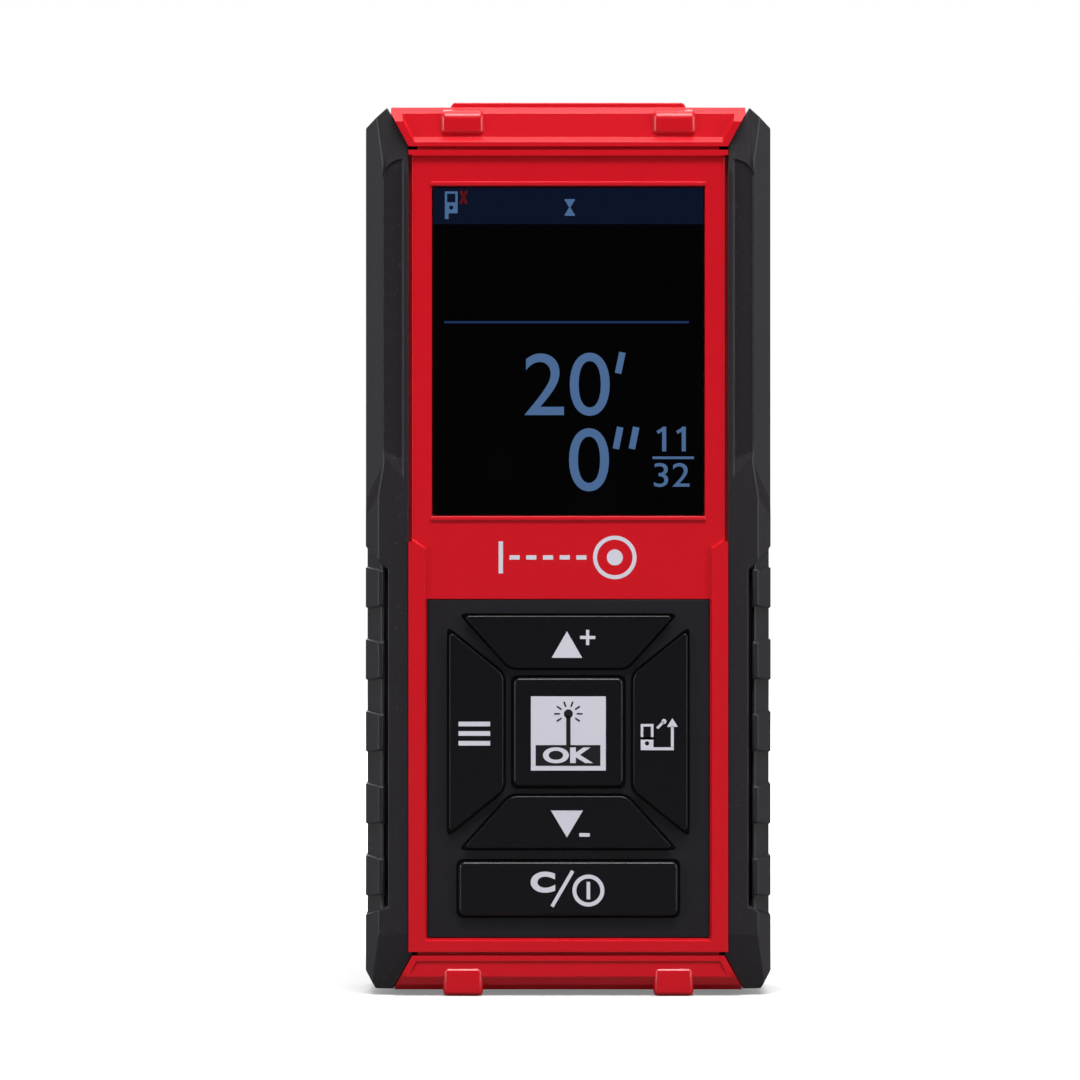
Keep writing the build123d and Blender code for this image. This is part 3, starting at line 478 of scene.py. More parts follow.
SHELL = "moulded_abs_red"
SLOT_FINISHES = {
    "red_abs": SHELL,
    "black_elastomer": "elastomer_charcoal",
    "fascia_black": "moulded_plate_black",
    "key_black": "silicone_keys_black",
    "door_black": "moulded_abs_black",
    "clear_cover": "coated_acrylic_black",
    "screen": "lcd_module_black",
    "foam_black": "closed_cell_foam_black",
    "seal_grey": "silicone_cord_grey",
    "silicone_grey": "silicone_mat_grey",
    "dome_steel": "stainless_domes",
    "board_green": "solder_mask_green",
    "chip_black": "epoxy_black",
    "part_grey": "ceramic_and_nylon",
    "polyimide": "polyimide_film_amber",
    "screw_steel": "black_zinc_steel",
    "chassis_black": "glass_filled_nylon_black",
    "optical_glass": "optical_glass_coated",
    "barrel_brass": "turned_brass",
    "can_gold": "gold_plating",
    "contact_nickel": "nickel_plated_steel",
    "cell_sleeve": "foil_sleeve_blue",
}


class MixMaterials(bpy.types.Operator):
    """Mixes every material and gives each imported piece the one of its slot"""

    bl_idname = "meter.mix_materials"
    bl_label = "Materials"

    def execute(self, context):
        colours = context.scene.meter_colours
        # Red ABS with a fine spark-eroded grain: satin, with soft broad highlights
        moulded(SHELL, colours.shell, 0.33, 0.3, 0.0006, mottle=0.02, ior=1.53, uneven=0.015)
        # Thermoplastic elastomer: matte and a little chalky, with dust held in its grain
        moulded("elastomer_charcoal", colours.grip, 0.44, 0.4, 0.005, mottle=0.14, dust=0.14)
        # Glass-filled plate with a grain that the finger feels: dull, almost no reflection
        moulded("moulded_plate_black", colours.fascia, 0.44, 0.4, 0.004, mottle=0.08, dust=0.06)
        # Silicone rubber with a coated face: deep black, softly lit edges
        moulded("silicone_keys_black", colours.key, 0.32, 0.3, 0.001, ior=1.41)
        # Black ABS of the battery door: satin, with a grain that breaks up reflections
        moulded("moulded_abs_black", colours.fascia, 0.48, 0.35, 0.008, ior=1.53)
        # Hard-coated acrylic over an unlit screen: black, with clear reflections and faint smears
        reach = {"From Min": 0.4, "From Max": 0.7, "To Min": 0.05, "To Max": 0.14}
        look = {"Base Color": (0.0004, 0.0004, 0.0008, 1), "IOR": 1.49}
        glazing("coated_acrylic_black", 14, 4, reach, look)
        # Coated optical glass: clear, with a faint blue-green cast
        look = {"Base Color": (0.82, 0.93, 0.95, 1), "Transmission Weight": 1.0, "IOR": 1.52}
        glazing("optical_glass_coated", 6, 3, {"To Min": 0.01, "To Max": 0.05}, look)
        # Screen-printed ink: matte, slightly uneven in cover
        moulded("pad_print_pale", colours.ink, 0.5, 0.15, 0.001, mottle=0.03)
        moulded("pad_print_black", colours.key, 0.5, 0.15, 0.001, mottle=0.03)
        lit("lit_figures_blue", colours.figures)
        lit("lit_bar_navy", colours.status)
        lit("lit_line_blue", colours.divider)
        lit("lit_mark_red", colours.alert)
        # Unlit screen, gasket and cords
        moulded("lcd_module_black", linear(0x0A0A10), 0.2, 0.5, 0.001)
        moulded("closed_cell_foam_black", linear(0x1A1A1B), 0.85, 0.3, 0.03)
        moulded("silicone_cord_grey", linear(0x55555A), 0.5, 0.4, 0.005, ior=1.41)
        moulded("silicone_mat_grey", linear(0x88888C), 0.55, 0.4, 0.005, ior=1.41)
        # Electronics: mask over the weave, moulded packages, flexible film
        moulded("solder_mask_green", linear(0x14502E), 0.3, 0.6, 0.004, mottle=0.15)
        moulded("epoxy_black", linear(0x1C1C1E), 0.5, 0.25, 0.006)
        moulded("ceramic_and_nylon", linear(0x9A8A70), 0.5, 0.3, 0.004)
        moulded("polyimide_film_amber", linear(0xB06A1E), 0.3, 0.8, 0.002, mottle=0.12)
        moulded("glass_filled_nylon_black", linear(0x18181A), 0.6, 0.3, 0.01)
        # Metals
        metal("stainless_domes", 0xC9C8C2, 0.2)
        metal("black_zinc_steel", 0x55555A, 0.35)
        metal("turned_brass", 0xC9A35A, 0.25)
        metal("gold_plating", 0xE0B760, 0.2)
        metal("nickel_plated_steel", 0xC4BFB4, 0.25)
        metal("foil_sleeve_blue", 0x2E3E63, 0.35)
        for entry in frame["record"]["subparts"]:
            node = frame["nodes"][entry["node"]]
            if not node.material_slots:
                node.data.materials.append(None)
            node.material_slots[0].material = bpy.data.materials[SLOT_FINISHES[entry["material_slot"]]]
        return {"FINISHED"}


# ---------------------------------------------------------------- grips

# Middle of the meter's depth, which front and back mirror about
MID_DEPTH = 0.3
# Faces of the grip across the meter, and the height of the face between its facets
PANEL_INNER, PANEL_OUTER = 22.8, 25.5
BAND_INNER = 24.85
GROOVE_INNER, GROOVE_OUTER = 24.6, 25.25
GRIP_SIDE = 28
FACET_FRONT = -12.35
PANEL_HEAD = 115.2
PANEL_LIP = 0.12
PANEL_ARCH = 2.7
BAND_SIDE_SUNK = 0.22
GROOVE_DEPTH = 1.3
PAD_ROWS = 5
PAD_TOP = 58.7
PAD_PITCH = 9.95
PAD_HEIGHT = 4.9
# Slanting wall of the housings that the grips close over: across and along the depth
SHOULDER_FRONT = (22.0, -11.4)
SHOULDER_SIDE = (25.4, -8.4)
GRIP_FACETS = [(21.5, -13.2), (26.2, -12.2), (28.0, -9.2)]
GRIP_OUTLINE = [
    ((21.5, 5.6), (24.1, 0.9)),
    ((26.6, 0.9), (28.0, 3.3)),
    ((28.0, 119.8), (25.0, 122.5)),
    ((24.6, 121.8), (22.0, 117.4)),
]


def grip_half(name, low, high, inset, side_inset=0):
    """Front half of a grip as a plain faceted bar, its facets moved in by inset millimetres."""
    bar = block(name, (low.x, low.y, low.z), (high.x - side_inset, MID_DEPTH, high.z))
    profile(bar, GRIP_FACETS, "Z", inset)
    return bar


def right_grip(sizes):
    """Right-hand grip: faceted bumper with a sunk panel, a ribbed band and sloping ends."""
    low, high = corners("right_grip")
    grip = grip_half("right_grip_armour", low, high, 0)
    for start, end in GRIP_OUTLINE:
        trim(grip, start, end, "Y")
    # Ends that lean back, above the panel and below the band
    slice_off(grip, (24, -12.67, 113.6), (0.205, -0.963, 0.176))
    slice_off(grip, (24, -12.67, 8.4), (0.205, -0.963, -0.2))
    # The upper part has a wider outer facet, which runs out in a slanting tail
    wide = block("wide_facet", (24.0, -16, 60), (30.0, -2, 130))
    trim(wide, (28.1, -8.3), (25.4, -12.45), "Z")
    slice_off(wide, (25.5, -12.4, 73.1), (-6.72, 3, -1))
    combine(grip, wide)
    # Sunk panel: arched above, with a sloping step below
    panel = block("panel", (PANEL_INNER, -15, 71.1), (PANEL_OUTER, -11, PANEL_HEAD))
    floor = -12.92 + sizes.panel_sunk / MM
    trim(panel, (PANEL_OUTER, FACET_FRONT + PANEL_LIP), (PANEL_INNER, floor), "Z")
    slice_off(panel, (24, -13.0, 70.9), (0, 0.984, -0.18))
    with editing(panel, "EDGE") as mesh:
        for edge in mesh.edges:
            middle = (edge.verts[0].co + edge.verts[1].co) / 2
            edge.select_set(middle.x > (PANEL_OUTER - 0.05) * MM and middle.z > (PANEL_HEAD - 0.1) * MM)
        bpy.ops.mesh.bevel(offset=PANEL_ARCH * MM, segments=8, affect="EDGES")
    combine(grip, panel)
    # Band sunk round the outside, with pads left standing in it
    band = block("band", (BAND_INNER, -16, 5), (30, MID_DEPTH + 1, 70))
    trim(band, (GRIP_SIDE, 61.9), (BAND_INNER, 58.75), "Y")
    trim(band, (BAND_INNER, 12.2), (GRIP_SIDE, 11.0), "Y")
    core = grip_half("band_core", low, high, sizes.band_sunk / MM, BAND_SIDE_SUNK)
    groove = block("groove", (GROOVE_INNER, -14, 12.4), (GROOVE_OUTER, FACET_FRONT + GROOVE_DEPTH, 58.9))
    trim(groove, (GROOVE_OUTER, 59.2), (GROOVE_INNER, 58.5), "Y")
    combine(core, groove)
    combine(band, core)
    for row in range(PAD_ROWS):
        top = PAD_TOP - PAD_PITCH * row
        pad = block("pad", (PANEL_OUTER, -18, top - 6), (32, MID_DEPTH + 2, top + 2))
        trim(pad, (GRIP_SIDE, top + 0.35), (PANEL_OUTER, top - 0.1), "Y")
        trim(pad, (PANEL_OUTER, top - PAD_HEIGHT), (GRIP_SIDE, top - PAD_HEIGHT - 0.35), "Y")
        combine(band, pad)
    combine(grip, band)
    # Room for the housings
    room = block("room", (20, -11.4, 6.1), (25.4, MID_DEPTH + 1, 116.5))
    trim(room, SHOULDER_FRONT, SHOULDER_SIDE, "Z")
    combine(grip, room)
    carve(grip, "edge", (20, -16, 6.1), (22, MID_DEPTH + 1, 117.4))
    return double(grip, "Y", MID_DEPTH)


class MakeGrips(bpy.types.Operator):
    """Models both soft grips, with their panels, pads and sloping ends"""

    bl_idname = "meter.make_grips"
    bl_label = "Soft grips"

    def execute(self, context):
        sizes = context.scene.meter_sizes
        right = right_grip(sizes)
        left = mirror_copy(right, "left_grip_armour", "X")
        for grip, node in ((right, "right_grip"), (left, "left_grip")):
            soften(grip, sizes.soft_edge, segments=3, angle=9, clamp=False)
            place(grip, "meter", "black_elastomer", "elastomer_charcoal", node)
        return {"FINISHED"}


# ---------------------------------------------------------------- end caps

CAP_TOP = 122.5
BAND_HALF = 16.3
# Ledge that the optics window rests on, room round a plate in its pocket, and a height above everything
LEDGE = 1.2
FIT = 0.15
ABOVE = 125
# Plug of both caps that stands in the housings
SEAT_HALF = 20.8
SEAT_FRONT = -12.2
SEAT_BACK = 12.8
# Buffers and feet, from the middle outwards
BUFFER_INNER, BUFFER_OUTER = 11.65, 17.55
TAB_INNER, TAB_OUTER = 11.75, 17.25
SOLE_INNER, SOLE_OUTER = 11.8, 17.2


def both_sides(piece, point, normal):
    """Slices a piece on its right by a plane, and on its left by the mirror image."""
    for side in SIDES:
        slice_off(piece, (side * point[0], point[1], point[2]), (side * normal[0], normal[1], normal[2]))


def top_cap(sizes):
    """Top cap: flared end with a hollowed front, two buffers and a raised band round the optics."""
    low, high = corners("top_cap")
    cap = block("top_cap_moulding", (low.x, low.y, 117.0), (high.x, high.y, CAP_TOP))
    both_sides(cap, (21.97, 0, 117.0), (4.8, 0, -2.6))
    both_sides(cap, (24.75, 0, 122.15), (0.7, 0, 0.7))
    trim(cap, (-10.9, CAP_TOP), (-12.35, 121.2), "X")
    trim(cap, (12.95, 121.3), (11.9, CAP_TOP), "X")
    # Hollow of the front and of the back, open at the top, with sloping walls
    for turn in (1, -1):
        hollow = block("hollow", (-26, -15, 117.3), (26, -11, 126))
        profile(hollow, [(-13.35, 117.45), (-12.35, 118.3), (-11.9, 121.6)], "X")
        both_sides(hollow, (20.9, -13.2, 117.0), (4.8, 1.8, -2.6))
        if turn < 0:
            hollow = turned(hollow)
        combine(cap, hollow)
    buffer = block("buffer", (BUFFER_INNER, -12.75, 118.65), (BUFFER_OUTER, -9, 122.2))
    trim(buffer, (-11.7, 122.2), (-12.75, 121.4), "X")
    soften(buffer, sizes.block_edge, segments=4)
    combine(cap, mirror_copy(buffer, "buffer_left", "X"), "UNION")
    combine(cap, buffer, "UNION")
    rim = block("rim", (-BAND_HALF, -10.8, 122.0), (BAND_HALF, 11.4, high.z))
    both_sides(rim, (BAND_HALF, 0, CAP_TOP), (0.7, 0, 0.45))
    soften(rim, sizes.band_edge, segments=3)
    combine(cap, rim, "UNION")
    weld(cap, "seat", (-SEAT_HALF, SEAT_FRONT, 116.5), (SEAT_HALF, SEAT_BACK, 117.2))
    low, high = corners("optics_window")
    room, ledge = Vector((FIT, FIT, 0.1)), Vector((LEDGE, LEDGE, 0))
    carve(cap, "pocket", low - room, (high.x + FIT, high.y + FIT, ABOVE))
    carve(cap, "opening", (*(low + ledge).xy, 110), (*(high - ledge).xy, ABOVE))
    soften(cap, sizes.hard_edge, angle=18)
    return cap


def turned(piece):
    """Mirror image about the caps' middle plane, in place of the piece."""
    twin = mirror_copy(piece, piece.name, "Y", MID_DEPTH)
    bpy.data.objects.remove(piece)
    return twin


def bottom_cap(sizes):
    """Bottom cap: flared end that leans back to its foot, with two feet that wrap its front."""
    low, high = corners("bottom_cap")
    cap = block("bottom_cap_moulding", (low.x, low.y, 0.8), (high.x, high.y, 5.6))
    both_sides(cap, (24.07, 0, 0.9), (4.7, 0, 2.6))
    profile(cap, [(-13.2, 3.6), (-12.95, 2.6), (-12.4, 1.6), (-11.2, 0.8)], "X")
    profile(cap, [(11.9, 0.8), (12.9, 1.7), (13.8, 4.9)], "X")
    # Shallow hollow between the flared ends, in front and behind
    for turn in (1, -1):
        hollow = block("hollow", (-26, -15, -2), (26, -11, 4.95))
        profile(hollow, [(-13.0, -3), (-13.0, 4.6), (-13.3, 5.0)], "X")
        both_sides(hollow, (20.5, -13.2, 5.6), (4.7, 3.6, 2.6))
        if turn < 0:
            hollow = turned(hollow)
        combine(cap, hollow)
    weld(cap, "seat", (-SEAT_HALF, SEAT_FRONT, 5.2), (SEAT_HALF, SEAT_BACK, 6.1))
    tab = block("tab", (TAB_INNER, -13.2, 0), (TAB_OUTER, -10.2, 4.0))
    sole = block("sole", (SOLE_INNER, -12.0, 0), (SOLE_OUTER, high.y - 2.0, 1.4))
    soften(tab, sizes.block_edge * 0.8, segments=4)
    soften(sole, sizes.block_edge * 0.4, segments=3)
    for foot in (tab, sole):
        combine(cap, mirror_copy(foot, foot.name + "_left", "X"), "UNION")
        combine(cap, foot, "UNION")
    soften(cap, sizes.hard_edge, angle=18)
    return cap


class MakeCaps(bpy.types.Operator):
    """Models the top cap with its buffers and the bottom cap with its feet"""

    bl_idname = "meter.make_caps"
    bl_label = "End caps"

    def execute(self, context):
        sizes = context.scene.meter_sizes
        place(top_cap(sizes), "meter", "red_abs", SHELL, "top_cap")
        place(bottom_cap(sizes), "meter", "red_abs", SHELL, "bottom_cap")
        return {"FINISHED"}


# ---------------------------------------------------------------- housings

PANEL_FRONT = -12.9
# In front of everything: where the cutters of the face start
BEFORE = -16
RAIL_HALF = 19.8
STEP_BOTTOM = 61.0
STEP_TOP = 62.2
PANEL_TOP = 115.5
SLOT_FLOOR = -11.9
BEAD = 0.25
PANEL_BOTTOM = 7.7


def taper(piece, across, up):
    """Narrows the inner end of a cutter, by millimetres on each side, so that its walls slope."""
    xs = [corner[0] for corner in piece.bound_box]
    zs = [corner[2] for corner in piece.bound_box]
    back = max(corner[1] for corner in piece.bound_box)
    size = Vector((max(xs) - min(xs), 1, max(zs) - min(zs)))
    middle = Vector(((max(xs) + min(xs)) / 2, back, (max(zs) + min(zs)) / 2))
    with editing(piece) as mesh:
        pick(mesh, lambda centre, normal: normal.y > 0.9)
        bpy.ops.transform.resize(
            value=(1 - 2 * across * MM / size.x, 1, 1 - 2 * up * MM / size.z), center_override=middle
        )


def carve_pocket(shell, node):
    """Lets a plate into the face, with room all round."""
    low, high = corners(node)
    carve(shell, "pocket", (low.x - FIT, BEFORE, low.z - FIT), (high.x + FIT, high.y, high.z + FIT))


def front_housing(sizes):
    """Front housing: rails each side of a sunk face, with pockets for the screen and the keypad."""
    low, high = corners("front_housing")
    shell = block("front_housing_moulding", low, high)
    shoulder = block("shoulder", (SHOULDER_FRONT[0], BEFORE, 0), (30, SHOULDER_SIDE[1], 130))
    trim(shoulder, SHOULDER_SIDE, SHOULDER_FRONT, "Z")
    combine(shell, mirror_copy(shoulder, "shoulder_left", "X"))
    combine(shell, shoulder)
    carve(shell, "hollow", (-20.2, -11, 7.9), (20.2, 0, 114.7))
    carve(shell, "hollow", (-23.6, -8, 7.9), (23.6, 0, 114.7))
    # Sunk face: narrow beside the keypad, wide above, with sloping walls
    upper = block("upper_face", (-22.3, -14.4, STEP_BOTTOM), (22.3, PANEL_FRONT, PANEL_TOP + 0.5))
    both_sides(upper, (RAIL_HALF + 0.1, 0, STEP_BOTTOM), (1.2, 0, -1.8))
    taper(upper, 0.9, 0.45)
    lower = block(
        "lower_face", (-RAIL_HALF - 0.3, -14.4, PANEL_BOTTOM - 0.4), (RAIL_HALF + 0.3, PANEL_FRONT, 63)
    )
    taper(lower, 0.5, 0.4)
    combine(shell, upper)
    combine(shell, lower)
    for side in SIDES:
        near, far = sorted((side * 21.5, side * 22.4))
        carve(shell, "slot", (near, BEFORE, STEP_TOP + 0.4), (far, SLOT_FLOOR, PANEL_TOP + 0.3))
    carve_pocket(shell, "display_window")
    window_low, window_high = corners("display_window")
    # Beads along the window's upper and lower edges
    for edge in (window_low.z - 0.5, window_high.z + 0.5):
        bead = block(
            "bead",
            (window_low.x - 0.3, PANEL_FRONT - BEAD, edge - 0.32),
            (window_high.x + 0.3, PANEL_FRONT + 0.5, edge + 0.32),
        )
        soften(bead, BEAD * 0.8 * MM, segments=3, angle=40)
        combine(shell, bead, "UNION")
    carve_pocket(shell, "keypad_fascia")
    carve(shell, "opening", (-18, BEFORE, 66.9), (18, 0, 110.7))
    carve(shell, "opening", (-17.2, BEFORE, 10.3), (17.2, 0, 53.2))
    soften(shell, sizes.hard_edge * 0.75, angle=18)
    return shell


def refined(node, name, width):
    """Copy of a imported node, its triangles merged into flats and its edges rounded."""
    piece = frame["nodes"][node].copy()
    piece.data = piece.data.copy()
    piece.name = name
    piece.parent = None
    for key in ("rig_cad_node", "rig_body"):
        if key in piece:
            del piece[key]
    bpy.context.scene.collection.objects.link(piece)
    with editing(piece, "VERT"):
        bpy.ops.mesh.select_all(action="SELECT")
        bpy.ops.mesh.remove_doubles(threshold=SAME_POINT * MM)
        bpy.ops.mesh.customdata_custom_splitnormals_clear()
    soften(piece, width)
    return piece


class MakeHousings(bpy.types.Operator):
    """Models the front housing, and rounds the edges of the rear housing and the battery door"""

    bl_idname = "meter.make_housings"
    bl_label = "Housings"

    def execute(self, context):
        sizes = context.scene.meter_sizes
        place(front_housing(sizes), "meter", "red_abs", SHELL, "front_housing")
        rear = refined("rear_housing", "rear_housing_moulding", sizes.fine_edge)
        place(rear, "meter", "red_abs", SHELL, "rear_housing")
        door = refined("battery_door", "battery_door_moulding", sizes.fine_edge)
        place(door, "battery_door", "door_black", "moulded_abs_black", "battery_door")
        return {"FINISHED"}


# ---------------------------------------------------------------- keypad

KEYS = ("key_up", "key_down", "key_menu", "key_reference", "key_ok", "key_power")
KEY_MIDDLE = 36.4
ARROW_INNER_HALF = 8.0
ARROW_OUTER_HALF = 14.5
SIDE_INNER_HALF = 7.9
SIDE_OUTER_HALF = 13.95
KEY_REACH = 20
KEY_GAP = 0.3
KEY_FLANGE = 0.45
STEM_RADIUS = 1.3
FASCIA_BACK = -12.0


def key_shape(name, node, grow, front, back):
    """Outline of a key between two depths, grown by some millimetres all round."""
    low, high = corners(node)
    low, high = low + Vector((KEY_FLANGE, 0, KEY_FLANGE)), high - Vector((KEY_FLANGE, 0, KEY_FLANGE))
    start, end = [low.x - grow, front, low.z - grow], [high.x + grow, back, high.z + grow]
    if node in ("key_up", "key_down"):
        start[0], end[0] = -KEY_REACH, KEY_REACH
        cap = block(name, start, end)
        rise, run = high.z - low.z, ARROW_OUTER_HALF - ARROW_INNER_HALF
        inner, lean = (low.z, -run) if node == "key_up" else (high.z, run)
        edge = ARROW_INNER_HALF + grow * hypot(run, rise) / rise
        both_sides(cap, (edge, 0, inner), (rise, 0, lean))
        return cap
    if node in ("key_menu", "key_reference"):
        start[2], end[2] = KEY_MIDDLE - KEY_REACH, KEY_MIDDLE + KEY_REACH
        cap = block(name, start, end)
        rise, run = high.x - low.x, SIDE_OUTER_HALF - SIDE_INNER_HALF
        inner, lean = (low.x, -run) if node == "key_reference" else (high.x, run)
        edge = SIDE_INNER_HALF + grow * hypot(run, rise) / rise
        for up in SIDES:
            slice_off(cap, (inner, 0, KEY_MIDDLE + up * edge), (lean, 0, up * rise))
        return cap
    return block(name, start, end)


def round_corners(piece, radius):
    """Rounds the edges that run along the depth."""
    tidy_mesh(piece)
    with editing(piece, "EDGE") as mesh:
        for edge in mesh.edges:
            along = (edge.verts[0].co - edge.verts[1].co).normalized()
            edge.select_set(abs(along.y) > 0.99)
        bpy.ops.mesh.bevel(offset=radius, segments=4, affect="EDGES")


def key_cap(node, sizes):
    """A key: rounded face, a flange behind the fascia and the stem that presses its dome."""
    low, high = corners(node)
    cap = key_shape(node + "_cap", node, 0, low.y, FASCIA_BACK + 0.3)
    round_corners(cap, sizes.key_corner)
    soften(cap, sizes.key_edge, segments=4, angle=40)
    flange = key_shape("flange", node, KEY_FLANGE, FASCIA_BACK + 0.05, FASCIA_BACK + 0.65)
    combine(cap, flange, "UNION")
    middle = (low + high) / 2
    middle.y = (FASCIA_BACK + high.y) / 2
    stem = drum("stem", middle, STEM_RADIUS, high.y - FASCIA_BACK)
    combine(cap, stem, "UNION")
    return cap


def fascia(sizes):
    """Plate round the keys, with an opening for each."""
    low, high = corners("keypad_fascia")
    plate = block("keypad_plate", low, high)
    for node in KEYS:
        opening = key_shape("opening", node, KEY_GAP, BEFORE, -8)
        round_corners(opening, sizes.key_corner)
        combine(plate, opening)
    soften(plate, sizes.hard_edge, angle=40)
    return plate


class MakeKeypad(bpy.types.Operator):
    """Models the keypad's plate and its six keys"""

    bl_idname = "meter.make_keypad"
    bl_label = "Keypad"

    def execute(self, context):
        sizes = context.scene.meter_sizes
        place(fascia(sizes), "meter", "fascia_black", "moulded_plate_black", "keypad_fascia")
        for node in KEYS:
            place(key_cap(node, sizes), node, "key_black", "silicone_keys_black", node)
        return {"FINISHED"}


# ---------------------------------------------------------------- printed and lit marks


class Stencil:
    """Collects thin flat shapes at one depth, in millimetres, and joins them into one mark."""

    def __init__(self, depth, thickness):
        self.front, self.back = depth - thickness, depth + thickness / 2
        self.shapes = []

    def bar(self, low, high):
        """Upright rectangle between two corners."""
        self.shapes.append(block("bar", (low[0], self.front, low[1]), (high[0], self.back, high[1])))

    def stroke(self, start, end, width):
        """Straight line of some width between two points."""
        run, rise = end[0] - start[0], end[1] - start[1]
        size = hypot(run, rise)
        line = block("stroke", (0, self.front, -width / 2), (size, self.back, width / 2))
        turn = Matrix.Rotation(-atan2(rise, run), 4, "Y")
        line.data.transform(Matrix.Translation((start[0] * MM, 0, start[1] * MM)) @ turn)
        self.shapes.append(line)

    def disc(self, centre, radius, sides=40):
        """Disc."""
        middle = (centre[0], (self.front + self.back) / 2, centre[1])
        self.shapes.append(drum("disc", middle, radius, self.back - self.front, sides))

    def ring(self, centre, outer, inner):
        """Flat ring."""
        self.disc(centre, outer)
        self.hole(centre, inner, 40)

    def hole(self, centre, radius, sides):
        """Round hole through the shape drawn last."""
        combine(self.shapes[-1], drum("hole", (centre[0], self.front, centre[1]), radius, 2, sides))

    def frame(self, low, high, line):
        """Outline of a rectangle."""
        self.bar(low, (high[0], low[1] + line))
        self.bar((low[0], high[1] - line), high)
        self.bar((low[0], low[1] + line), (low[0] + line, high[1] - line))
        self.bar((high[0] - line, low[1] + line), (high[0], high[1] - line))

    def triangle(self, apex, half, base):
        """Triangle with a level base."""
        apex_up = 1 if apex[1] > base else -1
        shape = block(
            "triangle",
            (apex[0] - half, self.front, min(apex[1], base)),
            (apex[0] + half, self.back, max(apex[1], base)),
        )
        for side in SIDES:
            slice_off(shape, (apex[0], 0, apex[1]), (side * abs(apex[1] - base), 0, apex_up * half))
        self.shapes.append(shape)

    def letters(self, text, low, high, weight=0.0):
        """Letters or figures, stretched to fill a box, with their strokes made heavier or lighter."""
        deselect()
        bpy.ops.object.text_add()
        line = bpy.context.object
        line.data.body = text
        line.data.offset = weight
        line.data.resolution_u = 8
        line.data.extrude = 0.01
        bpy.ops.object.convert(target="MESH")
        line = bpy.context.object
        points = [vertex.co for vertex in line.data.vertices]
        least = [min(point[i] for point in points) for i in range(3)]
        most = [max(point[i] for point in points) for i in range(3)]
        wide, tall = (high[0] - low[0]) * MM, (high[1] - low[1]) * MM
        deep = (self.back - self.front) * MM
        for vertex in line.data.vertices:
            share = [(vertex.co[i] - least[i]) / (most[i] - least[i]) for i in range(3)]
            vertex.co = (
                low[0] * MM + share[0] * wide,
                self.back * MM - share[2] * deep,
                low[1] * MM + share[1] * tall,
            )
        with editing(line, "VERT"):
            bpy.ops.mesh.select_all(action="SELECT")
            bpy.ops.mesh.remove_doubles(threshold=0.0005 * MM)
            bpy.ops.mesh.normals_make_consistent(inside=False)
        self.shapes.append(line)

    def finish(self, name):
        """The mark as one piece."""
        return join(self.shapes, name)


def meter_icon(stencil, left, bottom, width, height, line):
    """Pictogram of a meter: a body with a screen and a key cut out of it."""
    right, top = left + width, bottom + height
    stencil.bar((left, bottom), (right, bottom + height * 0.5))
    stencil.hole(((left + right) / 2, bottom + height * 0.26), width * 0.17, 16)
    stencil.frame((left, bottom + height * 0.5 - line), (right, top), line)


def mark_up(stencil):
    """Triangle and plus."""
    stencil.triangle((-0.2, 50.25), 2.1, 46.6)
    stencil.bar((1.6, 49.18), (3.7, 49.62))
    stencil.bar((2.43, 48.35), (2.87, 49.18))
    stencil.bar((2.43, 49.62), (2.87, 50.45))


def mark_down(stencil):
    """Triangle and minus."""
    stencil.triangle((-0.2, 21.9), 2.2, 25.6)
    stencil.bar((1.5, 22.0), (2.95, 22.5))


def mark_menu(stencil):
    """Three bars."""
    for level in (37.5, 36.2, 34.85):
        stencil.bar((-15.1, level - 0.32), (-10.75, level + 0.32))


def mark_reference(stencil):
    """A meter beside a bracket that ends in arrows: the edge that is measured from."""
    meter_icon(stencil, 9.95, 33.9, 1.75, 3.6, 0.35)
    stencil.bar((11.7, 33.9), (14.5, 34.3))
    stencil.bar((14.1, 34.35), (14.5, 37.2))
    stencil.triangle((14.3, 38.3), 0.75, 37.1)
    stencil.stroke((12.2, 36.9), (13.1, 37.8), 0.35)
    stencil.disc((13.15, 37.85), 0.35, 12)


def mark_power(stencil):
    """C for clear, a slash and a switch symbol."""
    stencil.letters("C", (-5.2, 14.3), (-1.8, 17.2), 0.05)
    stencil.stroke((-2.25, 12.4), (0.6, 17.3), 0.5)
    stencil.ring((2.75, 14.6), 2.2, 1.65)
    stencil.bar((2.5, 13.4), (3.0, 15.8))


def mark_ok(stencil):
    """Light field of the measuring key."""
    stencil.bar((-5.15, 31.1), (5.15, 41.3))


def mark_ok_dark(stencil):
    """Beam with rays, and the box behind the letters."""
    stencil.bar((-4.5, 31.75), (4.4, 34.6))
    stencil.bar((-0.3, 34.6), (0.3, 38.6))
    stencil.disc((0, 38.9), 0.62, 24)
    for angle in range(-36, 217, 36):
        across, up = cos(radians(angle)), sin(radians(angle))
        stencil.stroke((across * 1.15, 38.9 + up), (across * 1.95, 38.9 + up * 1.75), 0.22)


def mark_ok_letters(stencil):
    """The letters of the measuring key."""
    stencil.letters("OK", (-3.5, 32.1), (3.4, 34.3), 0.04)


